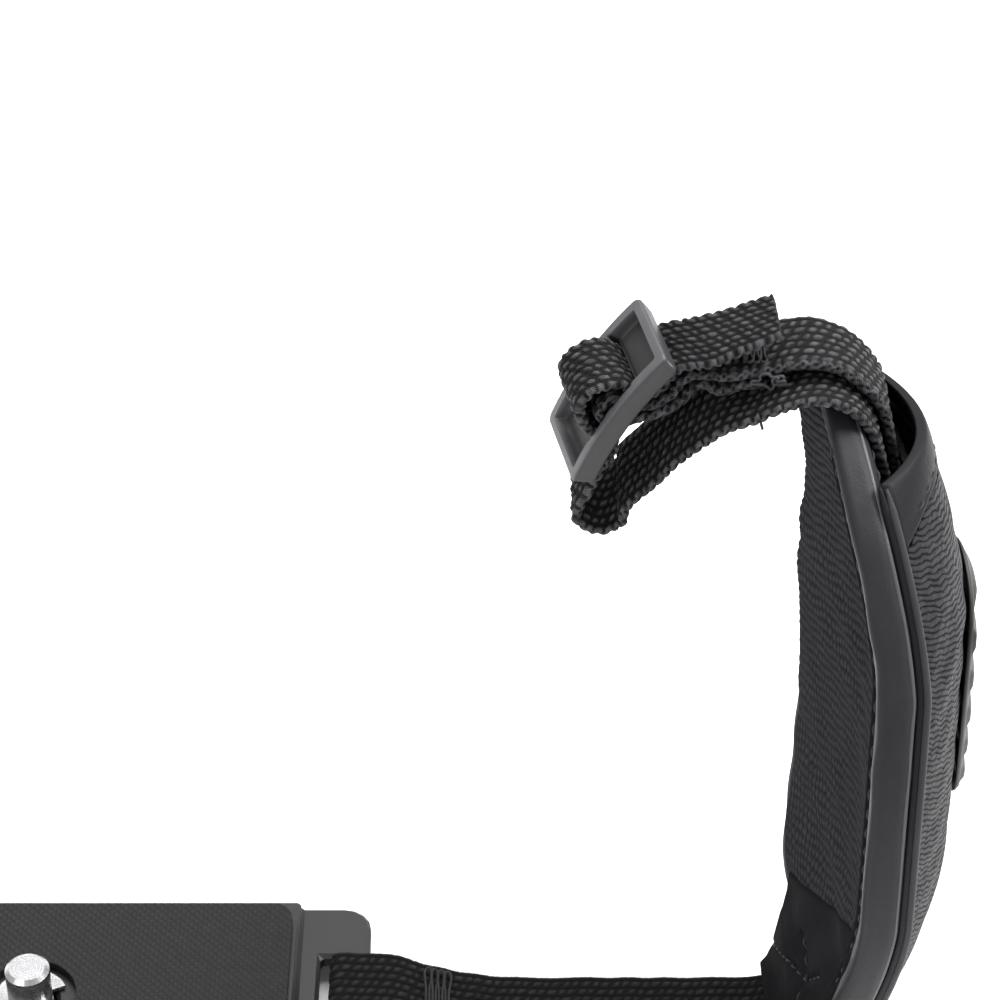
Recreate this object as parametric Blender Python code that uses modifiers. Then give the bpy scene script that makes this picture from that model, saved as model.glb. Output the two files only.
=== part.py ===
"""Camera hand grip strap: padded hand pad, two webbing runs, slider and base plate.

Frame: metres, +Z up. The origin is on the top face of the base plate's rubber pad, where the
camera's base sits. +X runs from the plate towards the hand pad, -Y towards the photographer.
"""

import math

import bmesh
import bpy
from mathutils import Matrix, Vector

# Hand pad: outline, lean and section
PAD_FOOT_Z = 0.010
PAD_TOP_Z = 0.0988
PAD_FOOT_WIDTH = 0.033
PAD_WIDTH = 0.058
PAD_TOP_WIDTH = 0.022
PAD_WIDEST_AT = 0.50
CUSHION_TOP_Z = 0.0974
CUSHION_TOP_ROUNDING = 0.0095
PAD_FACE_X = 0.1053
PAD_FOOT_Y = -0.0005
PAD_TOP_Y = 0.0108
PAD_DISH_NEAR = 0.0035
PAD_DISH_FAR = 0.0023
PAD_TWIST = 0.094
TOP_LEAN = 0.0080
TOP_LEAN_SPAN = 0.027
FOOT_LEAN = 0.0048
FOOT_LEAN_SPAN = 0.028
LEAN_POWER = 1.4

# Hand pad: layers, measured from the face that touches the hand
GAP = 0.0003
LINING_THICKNESS = 0.0004
FOAM_THICKNESS = 0.0015
BACKING_THICKNESS = 0.0004
BINDING_THICKNESS = 0.0006
BINDING_FLANGE = 0.0028
COVER_THICKNESS = 0.0012
COVER_CROWN = 0.0062
COVER_FOOT_CROWN = 0.0045
COVER_FOOT_SPAN = 0.025
COVER_FOOT_Z = 0.0108
MOUTH_Z = 0.0948
MOUTH_BINDING_HEIGHT = 0.0046
MOUTH_BINDING_PROUD = 0.0003
MOUTH_BINDING_THICKNESS = 0.0014
FOOT_BINDING_HEIGHT = 0.0050
PADDING_SHARE = 0.64
PATCH_LENGTH = 0.036
PATCH_WIDTH = 0.024
PATCH_HEIGHT = 0.0009
PATCH_Z = 0.0575
PATCH_RIB_HEIGHT = 0.0006
PATCH_RIB_COUNT = 7

# Webbing
STRAP_WIDTH = 0.010
STRAP_THICKNESS = 0.0013
STRAP_RIB_PITCH = 0.0030
STRAP_RIB_DEPTH = 0.00012
BOTTOM_STRAP_WIDTH = 0.020
STRAP_CLEARANCE = 0.0005
STRAP_END_Z = 0.030
CHANNEL_HEIGHTS = (STRAP_END_Z, 0.045, 0.060, 0.075, 0.087)
LUG_STRAP_OFFSET = -0.0015
SLIDER_STRAP_OFFSET = 0.0024
BOTTOM_STRAP_END_Z = 0.027
ACROSS_Y = (0.0, 1.0, 0.0)
TACK_HEIGHT = 0.0004
TACK_LENGTH = 0.0062
TACK_MARGIN = 0.002
STRAP_TACK_X = 0.0886
BOTTOM_TACK_X = 0.0478
TAB_WIDTH = 0.023
TAB_THICKNESS = 0.0016
TAB_HANG = ((0.0070, 0.0070), (0.0076, 0.0025), (0.0081, -0.0015), (0.0087, -0.0036),
            (0.0095, -0.0049))

# Slider
SLIDER_CENTRE = (0.0705, 0.012, 0.0976)
SLIDER_TILT = 56.7
SLIDER_YAW = 12.0
SLIDER_LENGTH = 0.0212
SLIDER_WIDTH = 0.0142
SLIDER_THICKNESS = 0.0030
SLIDER_END_BAR = 0.0060
SLIDER_SIDE_BAR = 0.0016
SLIDER_CENTRE_BAR = 0.0018
SLIDER_RIM = 0.0013
SLIDER_RIM_HEIGHT = 0.0010
SLIDER_BEND_RADIUS = 0.046
SLIDER_END_DRAFT = 0.0019

# Lug loop
LUG = (0.070, 0.012, 0.0834)
LUG_LOOP_RADIUS = 0.0026
LUG_TWIST = 22.0

# Base plate, rubber pad and captive screw
PLATE_X_MIN = -0.022
PLATE_X_MAX = 0.038
PLATE_WIDTH = 0.040
PLATE_TOP_Z = -0.0015
PLATE_UNDERSIDE_Z = -0.0080
PLATE_CORNER = 0.004
SLOT_BAR_WIDTH = 0.0040
SLOT_BAR_THICKNESS = 0.0025
SLOT_BAR_Z = -0.00425
SLOT_LENGTH = 0.0212
SLOT_OPENING = 0.0032
TONGUE_LENGTH = 0.0104
RUBBER_THICKNESS = 0.0012
RUBBER_MARGIN = 0.002
RUBBER_HOLE_RADIUS = 0.0065
SCREW_RADIUS = 0.003175
SCREW_STANDOUT = 0.0055
SCREW_GROOVE_RADIUS = 0.0025
HEAD_RADIUS = 0.0095
HEAD_HEIGHT = 0.0034
HEAD_RECESS = 0.0002
HEAD_CLEARANCE = 0.0006
COIN_SLOT_WIDTH = 0.0018
COIN_SLOT_DEPTH = 0.0016
KNURL_DEPTH = 0.00035
KNURL_COUNT = 18
CLIP_OUTER_RADIUS = 0.0052
CLIP_THICKNESS = 0.0006
CLIP_OPENING = 50.0
SCREW_X = -0.010

LINING_DEPTH = 0.0
FOAM_DEPTH = LINING_DEPTH + LINING_THICKNESS + GAP
BACKING_DEPTH = FOAM_DEPTH + FOAM_THICKNESS + GAP
CUSHION_DEPTH = BACKING_DEPTH + BACKING_THICKNESS
FLANGE_DEPTH = CUSHION_DEPTH + GAP + BINDING_THICKNESS
COVER_EDGE_DEPTH = FLANGE_DEPTH + GAP + COVER_THICKNESS
LOWER_STRAP_DEPTH = CUSHION_DEPTH + STRAP_CLEARANCE + STRAP_THICKNESS / 2
UPPER_STRAP_DEPTH = LOWER_STRAP_DEPTH + STRAP_THICKNESS + GAP
PADDING_DEPTH = UPPER_STRAP_DEPTH + STRAP_THICKNESS / 2 + STRAP_CLEARANCE


def empty_scene():
    for item in list(bpy.data.objects):
        bpy.data.objects.remove(item, do_unlink=True)


def new_collection(name):
    collection = bpy.data.collections.new(name)
    bpy.context.scene.collection.children.link(collection)
    return collection


def new_material(name, colour, roughness, metallic=0.0):
    material = bpy.data.materials.new(name)
    material.use_nodes = True
    shader = material.node_tree.nodes["Principled BSDF"]
    shader.inputs["Base Color"].default_value = (*colour, 1.0)
    shader.inputs["Roughness"].default_value = roughness
    shader.inputs["Metallic"].default_value = metallic
    return material


def add_object(name, mesh_builder, material, collection):
    """Turn a bmesh into a named object with one material and outward faces."""
    bmesh.ops.recalc_face_normals(mesh_builder, faces=mesh_builder.faces[:])
    mesh = bpy.data.meshes.new(name)
    mesh_builder.to_mesh(mesh)
    mesh_builder.free()
    mesh.materials.append(material)
    mesh.shade_smooth()
    mesh.set_sharp_from_angle(angle=math.radians(40))
    item = bpy.data.objects.new(name, mesh)
    collection.objects.link(item)
    return item


def add_bevel(item, width, segments=2, angle=50):
    bevel = item.modifiers.new("Bevel", "BEVEL")
    bevel.width = width
    bevel.segments = segments
    bevel.limit_method = "ANGLE"
    bevel.angle_limit = math.radians(angle)
    bevel.use_clamp_overlap = True


# Shape of the pad

def pad_share(z):
    """Height along the pad, 0 at the foot and 1 at the top."""
    return (z - PAD_FOOT_Z) / (PAD_TOP_Z - PAD_FOOT_Z)


def pad_middle_y(z):
    return PAD_FOOT_Y + (PAD_TOP_Y - PAD_FOOT_Y) * pad_share(z)


def pad_half_width(z, rounded=True):
    """Half width of the leaf outline at a height, with a round top end."""
    share = pad_share(z)
    if share < PAD_WIDEST_AT:
        away = (PAD_WIDEST_AT - share) / PAD_WIDEST_AT
        half = (PAD_WIDTH - (PAD_WIDTH - PAD_FOOT_WIDTH) * away ** 2) / 2
    else:
        away = (share - PAD_WIDEST_AT) / (1 - PAD_WIDEST_AT)
        half = (PAD_WIDTH - (PAD_WIDTH - PAD_TOP_WIDTH) * away ** 2) / 2
    into_round = (z - (CUSHION_TOP_Z - CUSHION_TOP_ROUNDING)) / CUSHION_TOP_ROUNDING
    if rounded and into_round > 0:
        half *= math.sqrt(max(1 - into_round ** 2, 0.0))
    return half


def pad_face_x(y, z):
    """X of the pad's hand face: dished, a little twisted, leaning in at both ends."""
    across = y - pad_middle_y(z)
    dish = PAD_DISH_NEAR if across < 0 else PAD_DISH_FAR
    dish *= (across / (PAD_WIDTH / 2)) ** 2
    top = max(z - (PAD_TOP_Z - TOP_LEAN_SPAN), 0.0) / TOP_LEAN_SPAN
    foot = max(PAD_FOOT_Z + FOOT_LEAN_SPAN - z, 0.0) / FOOT_LEAN_SPAN
    lean = TOP_LEAN * top ** LEAN_POWER + FOOT_LEAN * foot ** LEAN_POWER
    return PAD_FACE_X - dish - PAD_TWIST * across - lean


def cover_depth(y, z):
    """Depth of the outer cover's outside, from the pad's hand face."""
    across = (y - pad_middle_y(z)) / pad_half_width(z, rounded=False)
    filled = min(max((z - COVER_FOOT_Z) / COVER_FOOT_SPAN, 0.0), 1.0)
    crown = COVER_FOOT_CROWN + (COVER_CROWN - COVER_FOOT_CROWN) * filled
    return COVER_EDGE_DEPTH + crown * max(1 - across ** 2, 0.0)


def pad_slab(name, near_depth, far_depth, outline, heights, columns, material, collection):
    """A layer of the pad: two mapped grids, joined round their borders.

    near_depth and far_depth give depth at (y, z), outline gives half width at z."""
    builder = bmesh.new()
    rows = len(heights) - 1
    loops = []
    for depth in (near_depth, far_depth):
        grid = bmesh.ops.create_grid(builder, x_segments=columns, y_segments=rows, size=1.0)
        edges = {edge for vert in grid["verts"] for edge in vert.link_edges}
        for vert in grid["verts"]:
            z = heights[round((vert.co.y + 1) / 2 * rows)]
            y = pad_middle_y(z) + vert.co.x * outline(z)
            vert.co = (pad_face_x(y, z) + depth(y, z), y, z)
        loops += [edge for edge in edges if edge.is_boundary]
    bmesh.ops.bridge_loops(builder, edges=loops)
    return add_object(name, builder, material, collection)


def even_heights(low, high, rows):
    return [low + (high - low) * step / rows for step in range(rows + 1)]


def leaf_heights(rows):
    """Heights of the cushion's rows, closer together towards the round top."""
    low, high = PAD_FOOT_Z, CUSHION_TOP_Z - 0.04 * CUSHION_TOP_ROUNDING
    return [low + (high - low) * math.sin(math.pi / 2 * step / rows) for step in range(rows + 1)]


def flat_depth(depth):
    return lambda y, z: depth


def make_cushion(materials, collection):
    rows = leaf_heights(16)
    layers = (
        ("mesh_lining", LINING_DEPTH, LINING_THICKNESS, "lining"),
        ("cushion_foam", FOAM_DEPTH, FOAM_THICKNESS, "foam"),
        ("cushion_backing", BACKING_DEPTH, BACKING_THICKNESS, "cloth"),
    )
    for name, depth, thickness, material in layers:
        pad_slab(name, flat_depth(depth), flat_depth(depth + thickness), pad_half_width,
                 rows, 8, materials[material], collection)


def make_edge_binding(materials, collection):
    """A leather strip folded round the cushion's edge, from foot to top and down again."""
    side = [(height, -1) for height in leaf_heights(16)]
    path = []
    for z, sign in side + [(height, 1) for height in reversed(leaf_heights(16))]:
        path.append(Vector((pad_middle_y(z) + sign * pad_half_width(z), z)))
    reach = GAP + BINDING_THICKNESS / 2
    inner, outer = LINING_DEPTH - reach, CUSHION_DEPTH + reach
    corner = BINDING_THICKNESS * 0.75
    section = [(-BINDING_FLANGE, inner), (reach - corner, inner), (reach, inner + corner),
               (reach, outer - corner), (reach - corner, outer), (-BINDING_FLANGE, outer)]
    builder = bmesh.new()
    grid = bmesh.ops.create_grid(builder, x_segments=len(section) - 1,
                                 y_segments=len(path) - 1, size=1.0)
    for vert in grid["verts"]:
        index = round((vert.co.y + 1) / 2 * (len(path) - 1))
        out, depth = section[round((vert.co.x + 1) / 2 * (len(section) - 1))]
        before, after = path[max(index - 1, 0)], path[min(index + 1, len(path) - 1)]
        along = (after - before).normalized()
        outward = Vector((-along.y, along.x))
        y, z = path[index] + outward * out
        vert.co = (pad_face_x(y, z) + depth, y, z)
    item = add_object("edge_binding", builder, materials["leather"], collection)
    solidify = item.modifiers.new("Solidify", "SOLIDIFY")
    solidify.thickness = BINDING_THICKNESS
    solidify.offset = 0.0
    return item


def make_cover(materials, collection):
    """Outer cover, its padding, and the bands at its top mouth and foot."""
    def outline(z):
        return pad_half_width(z, rounded=False)

    def under(amount):
        return lambda y, z: cover_depth(y, z) - amount

    def band_inside(y, z):
        return max(cover_depth(y, z) - MOUTH_BINDING_THICKNESS, FLANGE_DEPTH + GAP)

    band_foot = MOUTH_Z - MOUTH_BINDING_HEIGHT
    rows = even_heights(COVER_FOOT_Z, band_foot - GAP, 18)
    pad_slab("outer_cover", under(COVER_THICKNESS), under(0.0), outline, rows, 14,
             materials["cover"], collection)

    pad_slab("cover_padding", flat_depth(PADDING_DEPTH), under(COVER_THICKNESS + GAP),
             lambda z: PADDING_SHARE * pad_half_width(z), rows[3:-1], 8,
             materials["foam"], collection)

    band = pad_slab("top_mouth_binding", band_inside, under(-MOUTH_BINDING_PROUD), outline,
                    even_heights(band_foot, MOUTH_Z, 4), 14, materials["leather"], collection)
    add_bevel(band, 0.0005)
    band = pad_slab("bottom_mouth_binding", band_inside, under(-MOUTH_BINDING_PROUD), outline,
                    even_heights(COVER_FOOT_Z - GAP - FOOT_BINDING_HEIGHT, COVER_FOOT_Z - GAP, 3),
                    14, materials["leather"], collection)
    add_bevel(band, 0.0005)


def make_patch(materials, collection):
    """A lens-shaped raised patch with plain cross ribs on the cover's outside."""
    builder = bmesh.new()
    rings, spokes = 8, 20
    half_length, half_width = PATCH_LENGTH / 2, PATCH_WIDTH / 2
    loops = []
    for raised in (False, True):
        grid = bmesh.ops.create_grid(builder, x_segments=rings, y_segments=spokes, size=1.0)
        edges = {edge for vert in grid["verts"] for edge in vert.link_edges}
        for vert in grid["verts"]:
            a, b = vert.co.x, vert.co.y
            across = a * math.sqrt(1 - b * b / 2) * half_width
            along = b * math.sqrt(1 - a * a / 2) * half_length
            z = PATCH_Z + along
            y = pad_middle_y(z) + across
            depth = cover_depth(y, z) + GAP
            if raised:
                inside = min(max((1 - max(abs(a), abs(b))) * 5, 0.0), 1.0)
                wave = 0.5 + 0.5 * math.cos(2 * math.pi * PATCH_RIB_COUNT * along / PATCH_LENGTH)
                depth += PATCH_HEIGHT * (0.6 + 0.4 * inside) + PATCH_RIB_HEIGHT * wave * inside
            vert.co = (pad_face_x(y, z) + depth, y, z)
        loops += [edge for edge in edges if edge.is_boundary]
    bmesh.ops.bridge_loops(builder, edges=loops)
    add_object("raised_patch", builder, materials["patch"], collection)


# Webbing

def smooth_route(stops, step):
    """Points about one step apart on a smooth curve through the stops (point, across)."""
    dense = []
    for index in range(len(stops) - 1):
        ends = [stops[max(index - 1, 0)], stops[index], stops[index + 1],
                stops[min(index + 2, len(stops) - 1)]]
        for part in range(24):
            share = part / 24
            blended = []
            for kind in (0, 1):
                p0, p1, p2, p3 = (Vector(end[kind]) for end in ends)
                blended.append(0.5 * (2 * p1 + (p2 - p0) * share
                                      + (2 * p0 - 5 * p1 + 4 * p2 - p3) * share ** 2
                                      + (3 * p1 - p0 - 3 * p2 + p3) * share ** 3))
            dense.append(blended)
    dense.append([Vector(stops[-1][0]), Vector(stops[-1][1])])
    lengths = [0.0]
    for before, after in zip(dense, dense[1:]):
        lengths.append(lengths[-1] + (after[0] - before[0]).length)
    count = max(round(lengths[-1] / step), 2)
    route, at = [], 0
    for index in range(count + 1):
        target = lengths[-1] * index / count
        while at < len(lengths) - 2 and lengths[at + 1] < target:
            at += 1
        span = max(lengths[at + 1] - lengths[at], 1e-9)
        share = (target - lengths[at]) / span
        point = dense[at][0].lerp(dense[at + 1][0], share)
        across = dense[at][1].lerp(dense[at + 1][1], share).normalized()
        route.append((point, across))
    return route


def make_webbing(name, stops, width, thickness, material, collection, ribs=True):
    """Flat webbing with cross ribs: a six-sided section carried along its route."""
    route = smooth_route(stops, STRAP_RIB_PITCH / 3)
    last = len(route) - 1
    edge = 0.0005
    section = [(-width / 2, 0.0), (-width / 2 + edge, -1.0), (width / 2 - edge, -1.0),
               (width / 2, 0.0), (width / 2 - edge, 1.0), (-width / 2 + edge, 1.0)]
    builder = bmesh.new()
    grid = bmesh.ops.create_grid(builder, x_segments=len(section), y_segments=last, size=1.0)
    for vert in grid["verts"]:
        index = round((vert.co.y + 1) / 2 * last)
        side, face = section[round((vert.co.x + 1) / 2 * len(section)) % len(section)]
        point, across = route[index]
        along = (route[min(index + 1, last)][0] - route[max(index - 1, 0)][0]).normalized()
        normal = along.cross(across).normalized()
        height = thickness / 2
        if ribs and index % 3 == 0:
            height -= STRAP_RIB_DEPTH
        vert.co = point + across * side + normal * (face * height)
    bmesh.ops.remove_doubles(builder, verts=builder.verts[:], dist=1e-6)
    ends = [item for item in builder.edges if item.is_boundary]
    bmesh.ops.holes_fill(builder, edges=ends, sides=len(section))
    return add_object(name, builder, material, collection)


def slider_axes():
    """Slider axes in the row frame: along its length, along its bars, out of its face."""
    turn = Matrix.Rotation(math.radians(SLIDER_YAW), 3, "Z")
    turn = turn @ Matrix.Rotation(math.radians(-SLIDER_TILT), 3, "Y")
    return turn


def slider_drop(along):
    """How far the bowed slider has dropped at a distance from its middle."""
    return along ** 2 / (2 * SLIDER_BEND_RADIUS)


def at_slider(along, out):
    """A route stop given in the slider's own plane."""
    turn = slider_axes()
    point = Vector(SLIDER_CENTRE) + turn @ Vector((along, 0.0, out - slider_drop(along)))
    return (point, turn @ Vector((0.0, 1.0, 0.0)))


def in_channel(z, depth, y):
    """A route stop between the cushion and the outer cover, lying along the pad's face."""
    near = 0.001
    slope = (pad_face_x(y + near, z) - pad_face_x(y - near, z)) / (2 * near)
    return ((pad_face_x(y, z) + depth, y, z), (slope, 1.0, 0.0))


def at_lug(angle, radius):
    """A route stop on the loop round the camera's lug, seen along -Y, 0 towards +X."""
    turn = math.radians(angle)
    twist = math.radians(LUG_TWIST)
    point = (LUG[0] + radius * math.cos(turn), LUG[1], LUG[2] + radius * math.sin(turn))
    return (point, (0.0, math.cos(twist), math.sin(twist)))


def over_top(x, z, y_offset):
    """A route stop on the arch over the pad's top, from the top of its hand face."""
    face = PAD_FACE_X - TOP_LEAN
    return ((face + x, PAD_TOP_Y + y_offset, PAD_TOP_Z + z), ACROSS_Y)


def lug_strap_stops():
    """From the channel over the arch to the lug, back through the slider to the free tail."""
    loop = LUG_LOOP_RADIUS + STRAP_THICKNESS / 2
    under_bar = SLIDER_THICKNESS / 2 + GAP + STRAP_THICKNESS / 2 + 0.0001
    end_bar = SLIDER_LENGTH / 2 - SLIDER_END_BAR / 2
    slot_end = SLIDER_LENGTH / 2 - SLIDER_END_BAR
    threads = slot_end - GAP - STRAP_THICKNESS / 2
    side = LUG_STRAP_OFFSET
    stops = [in_channel(z, LOWER_STRAP_DEPTH, PAD_TOP_Y + side) for z in CHANNEL_HEIGHTS]
    stops += [over_top(0.0066, -0.0038, side), over_top(0.0053, -0.0012, side),
              over_top(0.0040, 0.0004, side), over_top(0.0019, 0.0018, side),
              over_top(-0.0008, 0.0024, side), over_top(-0.0041, 0.0018, side),
              over_top(-0.0082, -0.0002, side)]
    stops += [((0.0843, 0.0106, 0.0961), (0.0, 0.98, 0.20)),
              ((0.0797, 0.0117, 0.0916), (0.0, 0.94, 0.34)),
              ((0.0762, 0.0120, 0.0874), (0.0, 0.93, 0.37))]
    stops += [at_lug(angle, loop) for angle in (10, -35, -80, -125, -170)]
    stops += [at_slider(-end_bar - 0.0015, -under_bar), at_slider(-slot_end - 0.0012, -0.0029),
              at_slider(-threads - 0.0001, -0.0021), at_slider(-threads, 0.0000),
              at_slider(-threads, 0.0022), at_slider(-0.0014, 0.0046), at_slider(0.0016, 0.0044),
              at_slider(threads, 0.0022), at_slider(threads, 0.0000),
              at_slider(threads + 0.0001, -0.0021), at_slider(slot_end + 0.0012, -0.0029),
              at_slider(end_bar + 0.0012, -under_bar - 0.0004)]
    stops += [((0.0826, 0.0125, 0.1047), (-0.15, 0.98, 0.0)),
              ((0.0872, 0.0125, 0.1066), (-0.06, 0.99, -0.06)),
              ((0.0915, 0.0125, 0.1085), (-0.03, 0.99, -0.08))]
    return stops


def slider_strap_stops():
    """From the channel over the arch, round the slider's centre bar and back under itself."""
    wrap = 0.6 * SLIDER_CENTRE_BAR + GAP + STRAP_THICKNESS / 2
    side = SLIDER_STRAP_OFFSET
    apart = STRAP_THICKNESS + GAP
    stops = [in_channel(z, UPPER_STRAP_DEPTH, PAD_TOP_Y + side) for z in CHANNEL_HEIGHTS]
    stops += [over_top(0.0083, -0.0034, side), over_top(0.0067, 0.0000, side),
              over_top(0.0045, 0.0025, side), over_top(0.0022, 0.0042, side),
              over_top(-0.0010, 0.0052, side), over_top(-0.0042, 0.0050, side)]
    stops += [((0.0890, 0.0133, 0.1027), (0.0, 1.0, 0.0)),
              ((0.0850, 0.0129, 0.1024), (-0.1, 0.99, 0.0)),
              at_slider(0.0085, -0.0049), at_slider(0.0050, -0.0047), at_slider(0.0026, -0.0034),
              at_slider(0.0019, -0.0015)]
    stops += [at_slider(wrap * math.cos(math.radians(angle)), wrap * math.sin(math.radians(angle)))
              for angle in (10, 55, 100, 145, 190, 230)]
    stops += [at_slider(0.0002, -0.0031), at_slider(0.0021, -0.0051), at_slider(0.0047, -0.0065),
              at_slider(0.0080, -0.0069),
              ((0.0840, 0.0129, 0.1002), (-0.1, 0.99, 0.0)),
              ((0.0875, 0.0132, 0.1026 - 1.1 * apart), (0.0, 1.0, 0.0)),
              ((0.0902, 0.0134, 0.1027 - 1.05 * apart), (0.0, 1.0, 0.0))]
    return stops


def bottom_strap_stops():
    """From the channel out of the pad's foot, along the ground and round the plate's bar."""
    top = SLOT_BAR_Z + SLOT_BAR_THICKNESS / 2 + GAP + STRAP_THICKNESS / 2
    bottom = SLOT_BAR_Z - SLOT_BAR_THICKNESS / 2 - GAP - STRAP_THICKNESS / 2
    bar = PLATE_X_MAX - SLOT_BAR_WIDTH / 2
    inside = PLATE_X_MAX - SLOT_BAR_WIDTH - GAP - STRAP_THICKNESS / 2
    ground = PLATE_UNDERSIDE_Z + STRAP_THICKNESS / 2 + 0.0001
    middle = PAD_FOOT_Y

    def stop(x, z, y=middle):
        return ((x, y, z), ACROSS_Y)

    foot = pad_face_x(middle, PAD_FOOT_Z)
    stops = [in_channel(z, LOWER_STRAP_DEPTH, middle) for z in (BOTTOM_STRAP_END_Z, 0.020, 0.013)]
    stops += [stop(foot + 0.0026, 0.0070), stop(foot + 0.0004, 0.0025), stop(foot - 0.0009, -0.0024),
              stop(foot - 0.0026, -0.0056), stop(foot - 0.0064, -0.0069), stop(0.087, ground),
              stop(0.070, ground), stop(0.060, ground), stop(0.053, ground + 0.0008),
              stop(0.0465, -0.0046), stop(0.0415, top - 0.0005)]
    stops += [stop(bar, top), stop(inside + 0.0003, top - 0.0002), stop(inside, SLOT_BAR_Z),
              stop(inside + 0.0003, bottom + 0.0002), stop(bar, bottom)]
    stops += [stop(0.0415, bottom - 0.0001), stop(0.0465, bottom - 0.0004), stop(0.0500, ground)]
    return stops


def hand_side(stops, lift):
    """Stops two millimetres apart beside a strap's route, lifted to its hand side."""
    route = smooth_route(stops, 0.002)
    lifted = []
    for before, here, after in zip(route, route[1:], route[2:]):
        point, across = here
        along = (after[0] - before[0]).normalized()
        lifted.append((point - along.cross(across) * lift, across))
    return lifted


def make_straps(materials, collection):
    webbing = materials["webbing"]
    make_webbing("lug_strap", lug_strap_stops(), STRAP_WIDTH, STRAP_THICKNESS, webbing, collection)
    make_webbing("slider_strap", slider_strap_stops(), STRAP_WIDTH, STRAP_THICKNESS, webbing,
                 collection)
    make_webbing("bottom_strap", bottom_strap_stops(), BOTTOM_STRAP_WIDTH, STRAP_THICKNESS,
                 webbing, collection)


def make_tacks(materials, collection):
    """Sewn bar tacks: one on the slider strap's fold, one on the bottom strap's fold."""
    lift = STRAP_THICKNESS / 2 + GAP + TACK_HEIGHT / 2
    low, high = STRAP_TACK_X - TACK_LENGTH / 2, STRAP_TACK_X + TACK_LENGTH / 2
    stops = [stop for stop in hand_side(slider_strap_stops(), lift)
             if low < stop[0].x < high and stop[0].z > SLIDER_CENTRE[2] + SLIDER_WIDTH / 3]
    make_webbing("strap_bar_tack", stops, STRAP_WIDTH - TACK_MARGIN, TACK_HEIGHT,
                 materials["thread"], collection, ribs=False)
    low, high = BOTTOM_TACK_X - TACK_LENGTH / 2, BOTTOM_TACK_X + TACK_LENGTH / 2
    stops = [stop for stop in hand_side(bottom_strap_stops(), lift)
             if low < stop[0].x < high and stop[0].z > SLOT_BAR_Z - 0.0025]
    make_webbing("bottom_strap_tack", stops, BOTTOM_STRAP_WIDTH - TACK_MARGIN, TACK_HEIGHT,
                 materials["thread"], collection, ribs=False)


def make_bottom_tab(materials, collection):
    """The leather tab that hangs from the pad's foot over the bottom strap's bend."""
    middle = PAD_FOOT_Y
    stops = []
    for above in (0.0045, 0.0010):
        z = PAD_FOOT_Z + above
        stops.append(in_channel(z, -2 * STRAP_CLEARANCE - TAB_THICKNESS / 2, middle))
    stops += [((PAD_FACE_X - back, middle, z), ACROSS_Y) for back, z in TAB_HANG]
    make_webbing("bottom_tab", stops, TAB_WIDTH, TAB_THICKNESS, materials["leather"], collection,
                 ribs=False)


def make_slider(materials, collection):
    """One moulded frame, bowed along its length: two slots, flat end bars and a raised rim."""
    half, edge = SLIDER_LENGTH / 2, SLIDER_WIDTH / 2
    slot_end, bar = half - SLIDER_END_BAR, SLIDER_CENTRE_BAR / 2
    slot_side = edge - SLIDER_SIDE_BAR
    step = 0.00015
    outer = [slot_end, (slot_end + half - SLIDER_RIM) / 2, half - SLIDER_RIM - step,
             half - SLIDER_RIM, half]
    along = [-x for x in reversed(outer)] + [-bar, bar] + outer
    inner = [0.0, slot_side / 2, slot_side - step, slot_side, edge]
    across = [-y for y in reversed(inner[1:])] + inner

    def on_rim(x, y):
        return abs(y) > slot_side - step / 2 or abs(x) > half - SLIDER_RIM - step / 2

    def height(x, y, face):
        if abs(x) <= bar and not on_rim(x, y):
            return face * bar
        if face > 0 and not on_rim(x, y):
            return SLIDER_THICKNESS / 2 - SLIDER_RIM_HEIGHT
        return face * SLIDER_THICKNESS / 2

    builder = bmesh.new()
    grid = bmesh.ops.create_grid(builder, x_segments=len(along) - 1, y_segments=len(across) - 1,
                                 size=1.0)
    for vert in grid["verts"]:
        vert.co.x = along[round((vert.co.x + 1) / 2 * (len(along) - 1))]
        vert.co.y = across[round((vert.co.y + 1) / 2 * (len(across) - 1))]
    slots = []
    for face in builder.faces:
        middle = face.calc_center_median()
        if bar < abs(middle.x) < slot_end and abs(middle.y) < slot_side:
            slots.append(face)
    bmesh.ops.delete(builder, geom=slots, context="FACES")
    top = bmesh.ops.extrude_face_region(builder, geom=builder.faces[:])["geom"]
    raised = {item for item in top if isinstance(item, bmesh.types.BMVert)}
    for vert in builder.verts:
        face = 1 if vert in raised else -1
        vert.co.z = height(vert.co.x, vert.co.y, face) - slider_drop(vert.co.x)
        if face < 0 and abs(vert.co.x) > half - SLIDER_RIM / 2:
            vert.co.x -= math.copysign(SLIDER_END_DRAFT, vert.co.x)
    slider = add_object("slider", builder, materials["slider"], collection)
    slider.location = SLIDER_CENTRE
    slider.rotation_euler = slider_axes().to_euler()
    add_bevel(slider, 0.0004, angle=30)
    return slider


# Base plate and screw

def box(builder, x_min, x_max, half_width, z_min, z_max):
    made = bmesh.ops.create_cube(builder, size=1.0)
    for vert in made["verts"]:
        vert.co = (x_min + (vert.co.x + 0.5) * (x_max - x_min), vert.co.y * 2 * half_width,
                   z_min + (vert.co.z + 0.5) * (z_max - z_min))
    return made["verts"]


def cylinder(builder, radius, z_min, z_max, segments=32):
    middle = Matrix.Translation((0.0, 0.0, (z_min + z_max) / 2))
    made = bmesh.ops.create_cone(builder, cap_ends=True, segments=segments, radius1=radius,
                                 radius2=radius, depth=z_max - z_min, matrix=middle)
    return made["verts"]


def make_cutter(name, builder, cutters):
    item = add_object(name, builder, new_material(name, (0.8, 0.2, 0.2), 0.5), cutters)
    item.hide_render = True
    item.display_type = "WIRE"
    return item


def cut(item, cutter):
    boolean = item.modifiers.new("Cut " + cutter.name, "BOOLEAN")
    boolean.operation = "DIFFERENCE"
    boolean.solver = "EXACT"
    boolean.object = cutter


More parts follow.
